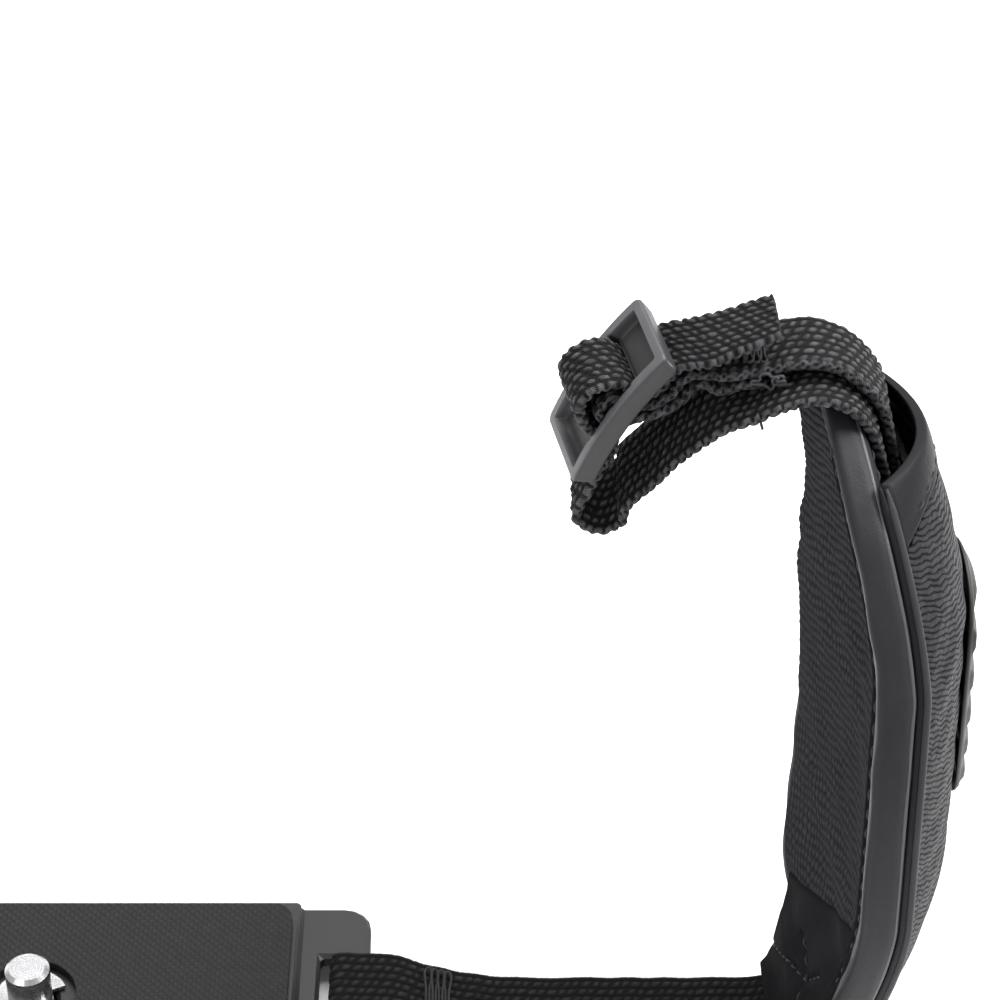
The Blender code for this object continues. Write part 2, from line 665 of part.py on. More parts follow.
def round_upright_edges(builder, radius, segments=4):
    upright = [edge for edge in builder.edges
               if abs((edge.verts[0].co - edge.verts[1].co).normalized().z) > 0.9]
    bmesh.ops.bevel(builder, geom=upright, offset=radius, segments=segments, profile=0.5,
                    affect="EDGES")


def make_base_plate(materials, collection, cutters):
    """Plate with a screw recess below, and a thin end with the webbing slot."""
    builder = bmesh.new()
    box(builder, PLATE_X_MIN, PLATE_X_MAX, PLATE_WIDTH / 2, PLATE_UNDERSIDE_Z, PLATE_TOP_Z)
    round_upright_edges(builder, PLATE_CORNER)
    plate = add_object("base_plate", builder, materials["plate"], collection)

    tongue = PLATE_X_MAX - TONGUE_LENGTH
    bar_top = SLOT_BAR_Z + SLOT_BAR_THICKNESS / 2
    bar_bottom = SLOT_BAR_Z - SLOT_BAR_THICKNESS / 2
    for name, low, high in (("step_above", bar_top, PLATE_TOP_Z + 0.002),
                            ("step_below", PLATE_UNDERSIDE_Z - 0.002, bar_bottom)):
        builder = bmesh.new()
        box(builder, tongue, PLATE_X_MAX + 0.005, PLATE_WIDTH, low, high)
        cut(plate, make_cutter(name, builder, cutters))
    builder = bmesh.new()
    slot_end = PLATE_X_MAX - SLOT_BAR_WIDTH
    box(builder, slot_end - SLOT_OPENING, slot_end, SLOT_LENGTH / 2, PLATE_UNDERSIDE_Z - 0.002,
        PLATE_TOP_Z + 0.002)
    bmesh.ops.translate(builder, verts=builder.verts[:], vec=(0.0, PAD_FOOT_Y, 0.0))
    cut(plate, make_cutter("webbing_slot", builder, cutters))

    builder = bmesh.new()
    cylinder(builder, SCREW_RADIUS + HEAD_CLEARANCE, PLATE_UNDERSIDE_Z - 0.002, PLATE_TOP_Z + 0.002)
    bore = make_cutter("screw_bore", builder, cutters)
    bore.location.x = SCREW_X
    cut(plate, bore)
    builder = bmesh.new()
    recess_top = PLATE_UNDERSIDE_Z + HEAD_RECESS + HEAD_HEIGHT + GAP
    cylinder(builder, HEAD_RADIUS + HEAD_CLEARANCE, PLATE_UNDERSIDE_Z - 0.002, recess_top, 48)
    recess = make_cutter("head_recess", builder, cutters)
    recess.location.x = SCREW_X
    cut(plate, recess)
    add_bevel(plate, 0.0005, segments=1)
    return plate


def make_grip_pad(materials, collection, cutters):
    """Rubber pad on the plate, with a hole round the screw."""
    builder = bmesh.new()
    box(builder, PLATE_X_MIN + RUBBER_MARGIN, PLATE_X_MAX - TONGUE_LENGTH - RUBBER_MARGIN / 2,
        PLATE_WIDTH / 2 - RUBBER_MARGIN, PLATE_TOP_Z + GAP, PLATE_TOP_Z + GAP + RUBBER_THICKNESS)
    round_upright_edges(builder, PLATE_CORNER - RUBBER_MARGIN / 2)
    pad = add_object("grip_pad", builder, materials["rubber"], collection)
    builder = bmesh.new()
    cylinder(builder, RUBBER_HOLE_RADIUS, PLATE_TOP_Z - 0.002, 0.002)
    hole = make_cutter("rubber_hole", builder, cutters)
    hole.location.x = SCREW_X
    cut(pad, hole)
    return pad


def make_tripod_screw(materials, collection, cutters):
    """Turned screw: knurled head with a coin slot, clip groove and a 1/4-inch shank."""
    head_foot = PLATE_UNDERSIDE_Z + HEAD_RECESS
    head_top = head_foot + HEAD_HEIGHT
    groove_low = PLATE_TOP_Z + GAP / 2
    groove_high = groove_low + CLIP_THICKNESS + GAP
    profile = [(SCREW_RADIUS - 0.0006, SCREW_STANDOUT), (SCREW_RADIUS, SCREW_STANDOUT - 0.0006),
               (SCREW_RADIUS, groove_high), (SCREW_GROOVE_RADIUS, groove_high),
               (SCREW_GROOVE_RADIUS, groove_low), (SCREW_RADIUS, groove_low),
               (SCREW_RADIUS, head_top), (HEAD_RADIUS - 0.0004, head_top),
               (HEAD_RADIUS, head_top - 0.0004), (HEAD_RADIUS, head_foot + 0.0004),
               (HEAD_RADIUS - 0.0004, head_foot)]
    segments = 2 * KNURL_COUNT
    builder = bmesh.new()
    grid = bmesh.ops.create_grid(builder, x_segments=segments, y_segments=len(profile) - 1, size=1.0)
    for vert in grid["verts"]:
        step = round((vert.co.x + 1) / 2 * segments) % segments
        radius, z = profile[round((vert.co.y + 1) / 2 * (len(profile) - 1))]
        if radius > SCREW_RADIUS and step % 2:
            radius -= KNURL_DEPTH
        turn = 2 * math.pi * step / segments
        vert.co = (radius * math.cos(turn), radius * math.sin(turn), z)
    bmesh.ops.remove_doubles(builder, verts=builder.verts[:], dist=1e-6)
    ends = [item for item in builder.edges if item.is_boundary]
    bmesh.ops.holes_fill(builder, edges=ends, sides=segments)
    screw = add_object("tripod_screw", builder, materials["steel"], collection)
    screw.location.x = SCREW_X
    builder = bmesh.new()
    box(builder, -HEAD_RADIUS * 2, HEAD_RADIUS * 2, COIN_SLOT_WIDTH / 2, head_foot - 0.002,
        head_foot + COIN_SLOT_DEPTH)
    slot = make_cutter("coin_slot", builder, cutters)
    slot.location.x = SCREW_X
    cut(screw, slot)
    return screw


def make_screw_clip(materials, collection):
    """Open spring ring in the screw's groove, above the plate."""
    middle = PLATE_TOP_Z + GAP / 2 + GAP / 2 + CLIP_THICKNESS / 2
    inner = SCREW_GROOVE_RADIUS + GAP
    builder = bmesh.new()
    steps = 20
    section = [(inner, -0.5), (CLIP_OUTER_RADIUS, -0.5), (CLIP_OUTER_RADIUS, 0.5), (inner, 0.5)]
    grid = bmesh.ops.create_grid(builder, x_segments=4, y_segments=steps, size=1.0)
    for vert in grid["verts"]:
        radius, level = section[round((vert.co.x + 1) / 2 * 4) % 4]
        share = (vert.co.y + 1) / 2
        turn = math.radians(CLIP_OPENING / 2 + (360 - CLIP_OPENING) * share)
        vert.co = (radius * math.cos(turn), radius * math.sin(turn), middle + level * CLIP_THICKNESS)
    bmesh.ops.remove_doubles(builder, verts=builder.verts[:], dist=1e-6)
    bmesh.ops.holes_fill(builder, edges=[e for e in builder.edges if e.is_boundary], sides=4)
    clip = add_object("screw_clip", builder, materials["steel"], collection)
    clip.location.x = SCREW_X
    return clip


def make_materials():
    return {
        "webbing": new_material("webbing", (0.018, 0.018, 0.019), 0.75),
        "cover": new_material("cover", (0.030, 0.031, 0.033), 0.45),
        "leather": new_material("leather", (0.045, 0.047, 0.050), 0.45),
        "lining": new_material("lining", (0.040, 0.042, 0.045), 0.85),
        "cloth": new_material("cloth", (0.090, 0.092, 0.095), 0.90),
        "foam": new_material("foam", (0.100, 0.100, 0.100), 0.95),
        "patch": new_material("patch", (0.020, 0.018, 0.017), 0.50),
        "thread": new_material("thread", (0.030, 0.030, 0.032), 0.70),
        "slider": new_material("slider", (0.045, 0.046, 0.048), 0.35),
        "plate": new_material("plate", (0.020, 0.020, 0.022), 0.40, 0.0),
        "rubber": new_material("rubber", (0.015, 0.015, 0.015), 0.80),
        "steel": new_material("steel", (0.560, 0.560, 0.570), 0.28, 1.0),
    }


def main():
    empty_scene()
    collection = new_collection("camera_hand_strap")
    cutters = new_collection("cutters")
    materials = make_materials()
    make_cushion(materials, collection)
    make_edge_binding(materials, collection)
    make_cover(materials, collection)
    make_patch(materials, collection)
    make_straps(materials, collection)
    make_tacks(materials, collection)
    make_bottom_tab(materials, collection)
    make_slider(materials, collection)
    make_base_plate(materials, collection, cutters)
    make_grip_pad(materials, collection, cutters)
    make_tripod_screw(materials, collection, cutters)
    make_screw_clip(materials, collection)


main()
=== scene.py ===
"""Camera hand grip strap, dressed and lit for a soft studio picture.

Lengths are in metres. +Z is up, +X runs from the base plate to the hand pad and -Y faces the
camera. A strap's own pattern coordinates, kept in its UV map, are in millimetres.
"""

import math

import bmesh
import bpy
import numpy as np
from mathutils import Matrix, Vector


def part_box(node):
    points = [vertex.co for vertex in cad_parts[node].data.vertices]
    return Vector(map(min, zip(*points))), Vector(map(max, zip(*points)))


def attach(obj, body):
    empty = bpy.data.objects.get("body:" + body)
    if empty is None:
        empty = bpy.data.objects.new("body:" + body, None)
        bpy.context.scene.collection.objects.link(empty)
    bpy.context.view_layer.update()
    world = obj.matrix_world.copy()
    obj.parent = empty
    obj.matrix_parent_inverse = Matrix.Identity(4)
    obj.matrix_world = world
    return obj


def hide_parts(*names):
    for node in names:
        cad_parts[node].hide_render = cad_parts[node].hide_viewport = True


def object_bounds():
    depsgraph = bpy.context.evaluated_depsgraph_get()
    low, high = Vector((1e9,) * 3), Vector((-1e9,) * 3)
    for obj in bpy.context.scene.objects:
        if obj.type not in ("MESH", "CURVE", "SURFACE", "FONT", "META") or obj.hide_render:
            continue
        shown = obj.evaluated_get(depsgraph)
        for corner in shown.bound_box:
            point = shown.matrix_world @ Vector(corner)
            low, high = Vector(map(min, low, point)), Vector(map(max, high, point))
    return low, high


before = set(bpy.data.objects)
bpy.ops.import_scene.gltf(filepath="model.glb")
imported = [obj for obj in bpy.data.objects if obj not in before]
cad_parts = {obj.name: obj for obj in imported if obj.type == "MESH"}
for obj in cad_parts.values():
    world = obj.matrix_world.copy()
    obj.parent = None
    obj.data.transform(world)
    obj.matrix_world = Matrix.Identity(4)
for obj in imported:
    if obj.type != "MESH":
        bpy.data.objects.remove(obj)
cad_low, cad_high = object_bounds()

STRAP_BODY = "strap"
MM = 0.001

# Pad outline and face
PAD_FOOT_Z = 0.010
PAD_TOP_Z = 0.0988
PAD_FOOT_WIDTH = 0.033
PAD_WIDTH = 0.058
PAD_TOP_WIDTH = 0.022
CUSHION_TOP_Z = 0.0974
CUSHION_TOP_ROUNDING = 0.0095
PAD_FACE_X = 0.1053
PAD_FOOT_Y = -0.0005
PAD_TOP_Y = 0.0108
PAD_DISH_NEAR, PAD_DISH_FAR = 0.0035, 0.0023
PAD_TWIST = 0.094
TOP_LEAN, TOP_LEAN_SPAN = 0.0080, 0.027
FOOT_LEAN, FOOT_LEAN_SPAN = 0.0048, 0.028
LEAN_POWER = 1.4

# Depths behind the hand face
GAP = 0.0003
CUSHION_DEPTH = 0.0029
BINDING_THICKNESS = 0.0006
BINDING_FLANGE = 0.0028
NEAR_FLANGE_SHARE, FAR_FLANGE_SHARE, FAR_CORNER = 1.28, 0.35, 0.0055
NEAR_PLUMP = 0.0005
FLANGE_DEPTH = CUSHION_DEPTH + GAP + BINDING_THICKNESS
COVER_THICKNESS = 0.0012
COVER_EDGE_DEPTH = FLANGE_DEPTH + GAP + COVER_THICKNESS
COVER_CROWN = 0.0062
COVER_FOOT_CROWN, COVER_FOOT_SPAN = 0.0045, 0.025
COVER_FOOT_Z = 0.0108
MOUTH_Z = 0.0948
MOUTH_BINDING_HEIGHT = 0.0046
MOUTH_BINDING_THICKNESS = 0.0014
FOOT_BINDING_HEIGHT = 0.0050
CROWN_NEAR = 0.0015
CROWN_HEIGHTS, CROWN_FAR = (0.012, 0.030, 0.055, 0.080), (0.0014, 0.0018, 0.0031, 0.0040)
PATCH_LENGTH, PATCH_WIDTH, PATCH_Z = 0.036, 0.024, 0.0575
PATCH_RIB_COUNT = 7

# Cushion: lining, knitted bumps, cloth behind, and how far its face eases in at foot and top
LINING_DEPTH, LINING_TOP_GAP = 0.0021, 0.0002
KNIT_PITCH, KNIT_LIFT = 0.00150, 0.00032
CLOTH_THICKNESS, CLOTH_TOP_GAP = 0.0004, 0.0004
FOOT_EASE, TOP_EASE, CUSHION_SAG = 0.009, 0.016, 0.00018

# Leather band: its fold, its sheet, and how far in from the flange's edge each seam runs
BAND_CORNER, BAND_SHEET = 0.0018, 0.0005
STITCH_PITCH = 0.0030
BACK_SEAM_IN, HAND_SEAM_IN, HAND_STITCH_IN = 0.0007, 0.00040, 0.0009
BAND_SEAM_RADIUS, PIPING_RADIUS = 0.00050, 0.00030

# Cover: felt filling, the mouth band's running down at both sides, and the side's fold and welt
FELT_FOOT_Z, FELT_TOP_Z, FELT_SHARE, FELT_THICKNESS = 0.0155, 0.0852, 0.62, 0.0009
MOUTH_TAPER_FROM, MOUTH_TAPER = 0.55, 0.40
BAND_PROUD, BAND_SEAM_DEPTH = 0.0003, 0.00018
COVER_FOLD_RADIUS, COVER_WELT_RADIUS = 0.00050, 0.00060

# Patch: how far its sheet, its domed rim and its ribs stand out
PATCH_LIFT, PATCH_DOME, PATCH_RIB_LIFT, PATCH_SHEET = 0.0005, 0.00065, 0.0005, 0.0003

# Wrinkles of the cover, in millimetres: pitch, and how far they sweep up towards both sides
WRINKLE_PITCH, WRINKLE_BEND = 0.84, 0.014

# Webbing
STRAP_WIDTH = 0.010
STRAP_THICKNESS = 0.0013
STRAP_CLEARANCE = 0.0005
BOTTOM_STRAP_WIDTH = 0.020
LOWER_STRAP_DEPTH = CUSHION_DEPTH + STRAP_CLEARANCE + STRAP_THICKNESS / 2
UPPER_STRAP_DEPTH = LOWER_STRAP_DEPTH + STRAP_THICKNESS + GAP
PADDING_DEPTH = UPPER_STRAP_DEPTH + STRAP_THICKNESS / 2 + STRAP_CLEARANCE
WEBBING_STEP, WEBBING_SWELL = 0.00027, 0.00040
THREAD_RADIUS = 0.00019
CHANNEL_HEIGHTS = (0.030, 0.045, 0.060, 0.075, 0.087)
LUG_STRAP_OFFSET = -0.0015
SLIDER_STRAP_OFFSET = 0.0024
ACROSS_Y = (0.0, 1.0, 0.0)

# Slider and lug
SLIDER_CENTRE = (0.0705, 0.012, 0.0976)
SLIDER_TILT, SLIDER_YAW = 56.7, 12.0
SLIDER_LENGTH, SLIDER_WIDTH, SLIDER_THICKNESS = 0.0212, 0.0142, 0.0030
SLIDER_END_BAR, SLIDER_SIDE_BAR, SLIDER_CENTRE_BAR = 0.0060, 0.0016, 0.0018
SLIDER_RIM, SLIDER_EDGE_RADIUS, SLIDER_END_DRAFT = 0.0013, 0.0004, 0.0010
SLIDER_BEND_RADIUS = 0.046
SLIDER_CORNER, SLIDER_TRAY_DEPTH = 0.0011, 0.0016
SLIDER_STEP, SLIDER_FINE_STEPS = 0.0004, (0.00002, 0.00005, 0.0001, 0.00017, 0.00026, 0.0004)
LUG = (0.070, 0.012, 0.0834)
LUG_LOOP_RADIUS, LUG_TWIST = 0.0026, 22.0

# Leather tab: distances in front of the pad's face, and heights
TAB_THICKNESS, TAB_SHEET = 0.0016, 0.0010
TAB_ROLL, TAB_GROOVE_WIDTH, TAB_GROOVE_DEPTH = 0.0008, 0.0006, 0.00035
TAB_FAR_Y, TAB_FAR_TOP, TAB_NEAR_TOP = 0.0112, 0.0135, 0.0345
TAB_SEAMS = (((0.0106, -0.0008), (0.0001, 0.0065), (-0.0069, 0.0100), (-0.0125, 0.0168)),
             ((0.0002, 0.0120), (-0.0069, 0.0100), (-0.0100, 0.0015)))
TAB_HANG = ((0.0070, 0.0070), (0.0076, 0.0025), (0.0081, -0.0015), (0.0087, -0.0036),
            (0.0095, -0.0049))

# Base plate
SCREW_X = -0.010
PLATE_UNDERSIDE_Z = -0.0080
PLATE_X_MAX = 0.038
SLOT_BAR_WIDTH, SLOT_BAR_THICKNESS, SLOT_BAR_Z = 0.0040, 0.0025, -0.00425


# Shader expressions

class Field:
    """A shader value that Python's own operators combine."""

    def __init__(self, finish, socket):
        self.finish, self.socket = finish, socket

    def math(self, operation, first, second=0.0):
        return self.finish.node("ShaderNodeMath", {"operation": operation}, {0: first, 1: second})

    def __add__(self, other):
        return self.math("ADD", self, other)

    def __radd__(self, other):
        return self.math("ADD", other, self)

    def __sub__(self, other):
        return self.math("SUBTRACT", self, other)

    def __rsub__(self, other):
        return self.math("SUBTRACT", other, self)

    def __mul__(self, other):
        return self.math("MULTIPLY", self, other)

    def __pow__(self, other):
        return self.math("POWER", self, other)

    def sine(self):
        return self.math("SINE", self)

    def size(self):
        return self.math("ABSOLUTE", self)

    def cap(self, other):
        return self.math("MINIMUM", self, other)

    def above(self, other):
        return self.math("MAXIMUM", self, other)


class Finish:
    """One material, and the nodes that make it."""

    def __init__(self, name, **constants):
        self.material = bpy.data.materials.new(name)
        self.material.use_nodes = True
        self.tree = self.material.node_tree
        self.shader = self.tree.nodes["Principled BSDF"]
        for socket, value in constants.items():
            self.shader.inputs[socket.replace("_", " ")].default_value = value

    def node(self, kind, settings, inputs, output=0):
        made = self.tree.nodes.new(kind)
        for name, value in settings.items():
            setattr(made, name, value)
        for key, value in inputs.items():
            self.feed(made.inputs[key], value)
        return Field(self, made.outputs[output])

    def feed(self, socket, value):
        if isinstance(value, Field):
            self.tree.links.new(value.socket, socket)
        else:
            socket.default_value = value

    def place(self):
        """Object coordinates, in millimetres."""
        here = self.node("ShaderNodeTexCoord", {}, {}, "Object")
        return self.node("ShaderNodeVectorMath", {"operation": "SCALE"}, {0: here, "Scale": 1000.0})

    def cloth_place(self):
        """The piece's UV map, across and along in millimetres."""
        return self.node("ShaderNodeUVMap", {"uv_map": "UVMap"}, {})

    def stretch(self, place, scale, turn=(0.0, 0.0, 0.0)):
        return self.node("ShaderNodeMapping", {},
                         {"Vector": place, "Scale": scale, "Rotation": turn})

    def parts(self, place):
        split = self.tree.nodes.new("ShaderNodeSeparateXYZ")
        self.feed(split.inputs[0], place)
        return [Field(self, split.outputs[axis]) for axis in range(3)]

    def noise(self, place, scale, detail=2.0, roughness=0.5):
        return self.node("ShaderNodeTexNoise", {}, {"Vector": place, "Scale": scale,
                                                    "Detail": detail, "Roughness": roughness})

    def cells(self, place, scale, feature="F1"):
        return self.node("ShaderNodeTexVoronoi", {"feature": feature},
                         {"Vector": place, "Scale": scale}, "Distance")

    def levels(self, value, low, high):
        return self.node("ShaderNodeMapRange", {"interpolation_type": "SMOOTHSTEP"},
                         {"Value": value, "From Min": low, "From Max": high})

    def blend(self, share, first, second):
        made = self.tree.nodes.new("ShaderNodeMix")
        made.data_type = "RGBA"
        self.feed(made.inputs["Factor"], share)
        for socket, colour in ((made.inputs[6], first), (made.inputs[7], second)):
            self.feed(socket, colour if isinstance(colour, Field) else (*colour, 1.0))
        return Field(self, made.outputs[2])

    def bump(self, height, distance, strength):
        return self.node("ShaderNodeBump", {},
                         {"Height": height, "Distance": distance, "Strength": strength})

    def colour(self, value):
        self.feed(self.shader.inputs["Base Color"], value)

    def roughness(self, value):
        self.feed(self.shader.inputs["Roughness"], value)

    def normal(self, value):
        self.feed(self.shader.inputs["Normal"], value)


def webbing_finish(name, tone):
    """Coarse knobby nylon: slanted filaments in each knob, a painted highlight on the knob tops and
    painted shade in the gaps.
    """
    made = Finish(name, Sheen_Weight=0.02, Sheen_Roughness=0.45, Specular_IOR_Level=0.18)
    cloth = made.cloth_place()
    across, along, _ = made.parts(cloth)
    strands = ((along * 9.0 + across * 11.0) * 2.2).sine() * 0.5 + 0.5
    fuzz = made.noise(cloth, 2.6, 4.0, 0.65)
    worn = made.noise(cloth, 0.16, 2.0)
    uneven = made.noise(cloth, 0.85, 2.0, 0.6)
    knob = made.node("ShaderNodeAttribute", {"attribute_name": "knob"}, {}, "Fac")
    # The knob height drives the colour: painted shade in the gaps between knobs, a painted
    # highlight on their tops.
    tops = made.levels(knob, 0.34, 1.0)
    lit = 0.72 + (fuzz - 0.5) * 1.3 + (uneven - 0.5) * 2.4
    shade = (tops * lit + (worn - 0.5) * 0.15).cap(1.0).above(0.0)
    # Blend from painted shade in the gaps to a painted highlight on the tops.
    made.colour(made.blend(shade, tuple(c * 0.06 for c in tone), tuple(c * 2.1 for c in tone)))
    made.roughness(0.80 - tops * 0.22 - strands * 0.06)
    made.normal(made.bump(strands + fuzz * 1.2, 0.00012, 0.8))
    return made.material


def leather_finish(name, tone, rough, shine=0.28):
    """Smooth coated leather: fine pores, faint creases and a little colour drift."""
    made = Finish(name, Specular_IOR_Level=shine)
    place = made.place()
    pores = made.cells(place, 3.2)
    crease = made.noise(made.stretch(place, (0.9, 0.9, 0.25)), 0.5, 5.0, 0.6)
    drift = made.noise(place, 0.09, 2.0)
    shade = (crease - 0.5) * 0.6 + (drift - 0.5) * 0.7 + 0.5
    made.colour(made.blend(shade, tuple(c * 0.78 for c in tone), tuple(c * 1.22 for c in tone)))
    made.roughness(rough + (crease - 0.5) * 0.14 - pores * 0.03)
    made.normal(made.bump(pores * 0.5 + crease * 1.4, 0.00006, 0.7))
    return made.material


def pebbled_finish(name, tone, rough):
    """Pebbled leather: wavy wrinkles across the crown, broken into pebbles, with satin tops,
    painted shade in the grooves and painted light on the tops.
    """
    made = Finish(name, Specular_IOR_Level=0.06)
    place = made.place()
    _, y, z = made.parts(place)
    middle_slope = (PAD_TOP_Y - PAD_FOOT_Y) / (PAD_TOP_Z - PAD_FOOT_Z)
    middle = (z - PAD_FOOT_Z / MM) * middle_slope + PAD_FOOT_Y / MM
    across = y - middle
    wander = made.noise(made.stretch(place, (0.30, 0.42, 0.30)), 1.0, 2.0, 0.5)
    ripple = (across * 2.3 + (z * 0.55).sine() * 1.9).sine()
    phase = (z - across * across * WRINKLE_BEND) * (math.pi / WRINKLE_PITCH)
    ridges = (phase + wander * 4.2 + ripple * 0.32).sine().size() ** 0.7
    pebbles = made.cells(made.stretch(place, (0.55, 0.55, 1.0)), 1.10, "SMOOTH_F1")
    fine = made.noise(place, 4.5, 3.0)
    height = ridges * 0.75 + (1.0 - pebbles) * 0.55 + fine * 0.15
    # grooves is 0 down in a groove and 1 on a top: it paints shade into the grooves and light onto
    # the tops.
    grooves = made.levels(height, 0.50, 1.15)
    drift = made.noise(place, 0.07, 2.0)
    shade = (grooves * 0.85 + (drift - 0.5) * 0.3 + 0.05).cap(1.0).above(0.0)
    # Painted shade in the grooves, painted light on the tops.
    made.colour(made.blend(shade, tuple(c * 0.08 for c in tone), tuple(c * 1.60 for c in tone)))
    made.roughness(rough + 0.20 - grooves * 0.20)
    made.normal(made.bump(height, 0.00036, 0.9))
    return made.material


def lining_finish(name, tone):
    """Knitted air mesh: fine yarns on the knit's bumps, with painted shade in the holes between
    them and painted light on the bumps.
    """
    made = Finish(name, Specular_IOR_Level=0.0)
    place = made.place()
    knob = made.node("ShaderNodeAttribute", {"attribute_name": "knob"}, {}, "Fac")
    yarn = made.noise(made.stretch(place, (1.0, 1.6, 0.8)), 3.0, 3.0, 0.6)
    drift = made.noise(place, 0.10, 2.0)
    # The knit's height drives the colour: painted shade in the holes, painted light on the bumps.
    tops = made.levels(knob, 0.1, 0.9)
    shade = (tops * 0.75 + 0.1 + (yarn - 0.5) * 0.6 + (drift - 0.5) * 0.3).cap(1.0).above(0.0)
    made.colour(made.blend(shade, tuple(c * 0.35 for c in tone), tuple(c * 1.6 for c in tone)))
    made.roughness(0.85 - tops * 0.10)
    made.normal(made.bump(yarn, 0.00010, 0.7))
    return made.material


def cloth_finish(name, tone):
    """Plain woven grey cloth with flecks."""
    made = Finish(name, Sheen_Weight=0.05, Sheen_Roughness=0.5, Specular_IOR_Level=0.2)
    place = made.place()
    _, y, z = made.parts(place)
    weave = ((y * 9.0).sine() * (z * 9.0).sine()) * 0.5 + 0.5
    fleck = made.noise(place, 1.7, 4.0, 0.7)
    made.colour(made.blend(made.levels(fleck, 0.3, 0.7), tuple(c * 0.6 for c in tone),
                           tuple(c * 1.4 for c in tone)))
    made.roughness(0.95 - weave * 0.08)
    made.normal(made.bump(weave + fleck * 0.6, 0.00012, 0.8))
    return made.material


def plastic_finish(name, tone, rough, grain=6.0, scuffs=0.0, worn=0.0):
    """Moulded plastic: a fine spark texture, a few faint scuffs and paler rims, partly wear and
    partly a painted highlight.
    """
    made = Finish(name, Specular_IOR_Level=0.40)
    place = made.place()
    spark = made.noise(place, grain, 3.0, 0.6)
    drift = made.noise(place, 0.2, 2.0)
    rub = made.noise(made.stretch(place, (0.3, 3.2, 0.4), (0.3, 0.5, 0.2)), 1.0, 4.0, 0.7)
    scuff = made.levels(rub, 0.62, 0.74) * scuffs
    base = made.blend(drift, tuple(c * 0.88 for c in tone), tuple(c * 1.12 for c in tone))
    if worn:
        # Paler rims where the knob attribute is high: partly wear, partly a painted highlight on
        # the rim tops.
        rim = made.node("ShaderNodeAttribute", {"attribute_name": "knob"}, {}, "Fac")
        base = made.blend(rim * (drift * 0.5 + 0.5) * worn, base, tuple(c * 4.0 for c in tone))
    made.colour(made.blend(scuff, base, tuple(c * 2.2 for c in tone)))
    made.roughness(rough + (spark - 0.5) * 0.10 + scuff * 0.15)
    made.normal(made.bump(spark, 0.00003, 0.6))
    return made.material


def rubber_finish(name, tone):
    """Matt rubber with a fine moulded diamond grid."""
    made = Finish(name, Specular_IOR_Level=0.35)
    place = made.place()
    x, y, _ = made.parts(place)
    first = ((x + y) * 2.4).sine().size()
    second = ((x - y) * 2.4).sine().size()
    grid = first.cap(second)
    dust = made.noise(place, 0.5, 4.0, 0.65)
    made.colour(made.blend(dust, tuple(c * 0.8 for c in tone), tuple(c * 1.5 for c in tone)))
    made.roughness(0.82 - dust * 0.12)
    made.normal(made.bump(grid, 0.00022, 0.9))
    return made.material


def steel_finish(name, tone, rough):
    """Turned, plated steel: rings round the axis and fine smears."""
    made = Finish(name, Metallic=1.0)
    place = made.place()
    x, y, z = made.parts(place)
    x = x - SCREW_X / MM
    radius = (x * x + y * y) ** 0.5
    round_axis = made.node("ShaderNodeCombineXYZ", {}, {0: radius * 6.0, 1: z * 6.0})
    rings = made.noise(round_axis, 1.0, 3.0)
    smear = made.noise(place, 0.6, 3.0)
    made.colour(made.blend(smear, tuple(c * 0.85 for c in tone), tuple(c * 1.1 for c in tone)))
    made.roughness(rough + (rings - 0.5) * 0.18 + (smear - 0.5) * 0.10)
    made.normal(made.bump(rings, 0.00002, 0.6))
    return made.material


def thread_finish(name, tone):
    """Twisted sewing thread."""
    made = Finish(name, Sheen_Weight=0.05, Sheen_Roughness=0.4, Specular_IOR_Level=0.35)
    place = made.place()
    x, y, z = made.parts(place)
    twist = ((x + y * 1.3 + z * 1.7) * 24.0).sine() * 0.5 + 0.5
    fuzz = made.noise(place, 5.0, 2.0)
    # The twist's ridges are painted lighter and its grooves darker: painted light and shade.
    made.colour(made.blend((twist + fuzz) * 0.5, tuple(c * 0.6 for c in tone),
                           tuple(c * 1.4 for c in tone)))
    made.roughness(0.62 + twist * 0.12)
    made.normal(made.bump(twist, 0.00003, 0.8))
    return made.material


def floor_finish():
    """Pale matt paper sweep."""
    made = Finish("pale_paper", Specular_IOR_Level=0.2)
    place = made.place()
    drift = made.noise(place, 0.01, 2.0)
    made.colour(made.blend(drift, (0.86, 0.86, 0.86), (0.90, 0.90, 0.90)))
    made.roughness(0.9 + drift * 0.05)
    return made.material


# Pad surfaces

def smooth(value, low, high):
    share = np.clip((value - low) / (high - low), 0, 1)
    return share * share * (3 - 2 * share)


def pad_share(z):
    return (z - PAD_FOOT_Z) / (PAD_TOP_Z - PAD_FOOT_Z)


def pad_middle_y(z):
    return PAD_FOOT_Y + (PAD_TOP_Y - PAD_FOOT_Y) * pad_share(z)


def pad_half_width(z):
    """Half width of the leaf outline, before its top end is rounded."""
    away = np.abs(pad_share(z) - 0.5) / 0.5
    narrow = np.where(pad_share(z) < 0.5, PAD_FOOT_WIDTH, PAD_TOP_WIDTH)
    return (PAD_WIDTH - (PAD_WIDTH - narrow) * away ** 2) / 2


def rounding(z):
    into = (z - CUSHION_TOP_Z + CUSHION_TOP_ROUNDING) / CUSHION_TOP_ROUNDING
    into = np.clip(into, 0.0, 1.0)
    return np.sqrt(1 - into ** 2)


def far_corner(z):
    """How far the cushion's far foot corner is cut in, a quarter round."""
    into = np.clip(1 - (z - PAD_FOOT_Z) / FAR_CORNER, 0, 1)
    return FAR_CORNER * (1 - np.sqrt(1 - into ** 2))


def across_cushion(side, z):
    """Y on the cushion, from its near edge at side -1 to its far edge at side 1."""
    half = pad_half_width(z) * rounding(z)
    return pad_middle_y(z) + side * (half - np.where(side > 0, far_corner(z), 0.0))


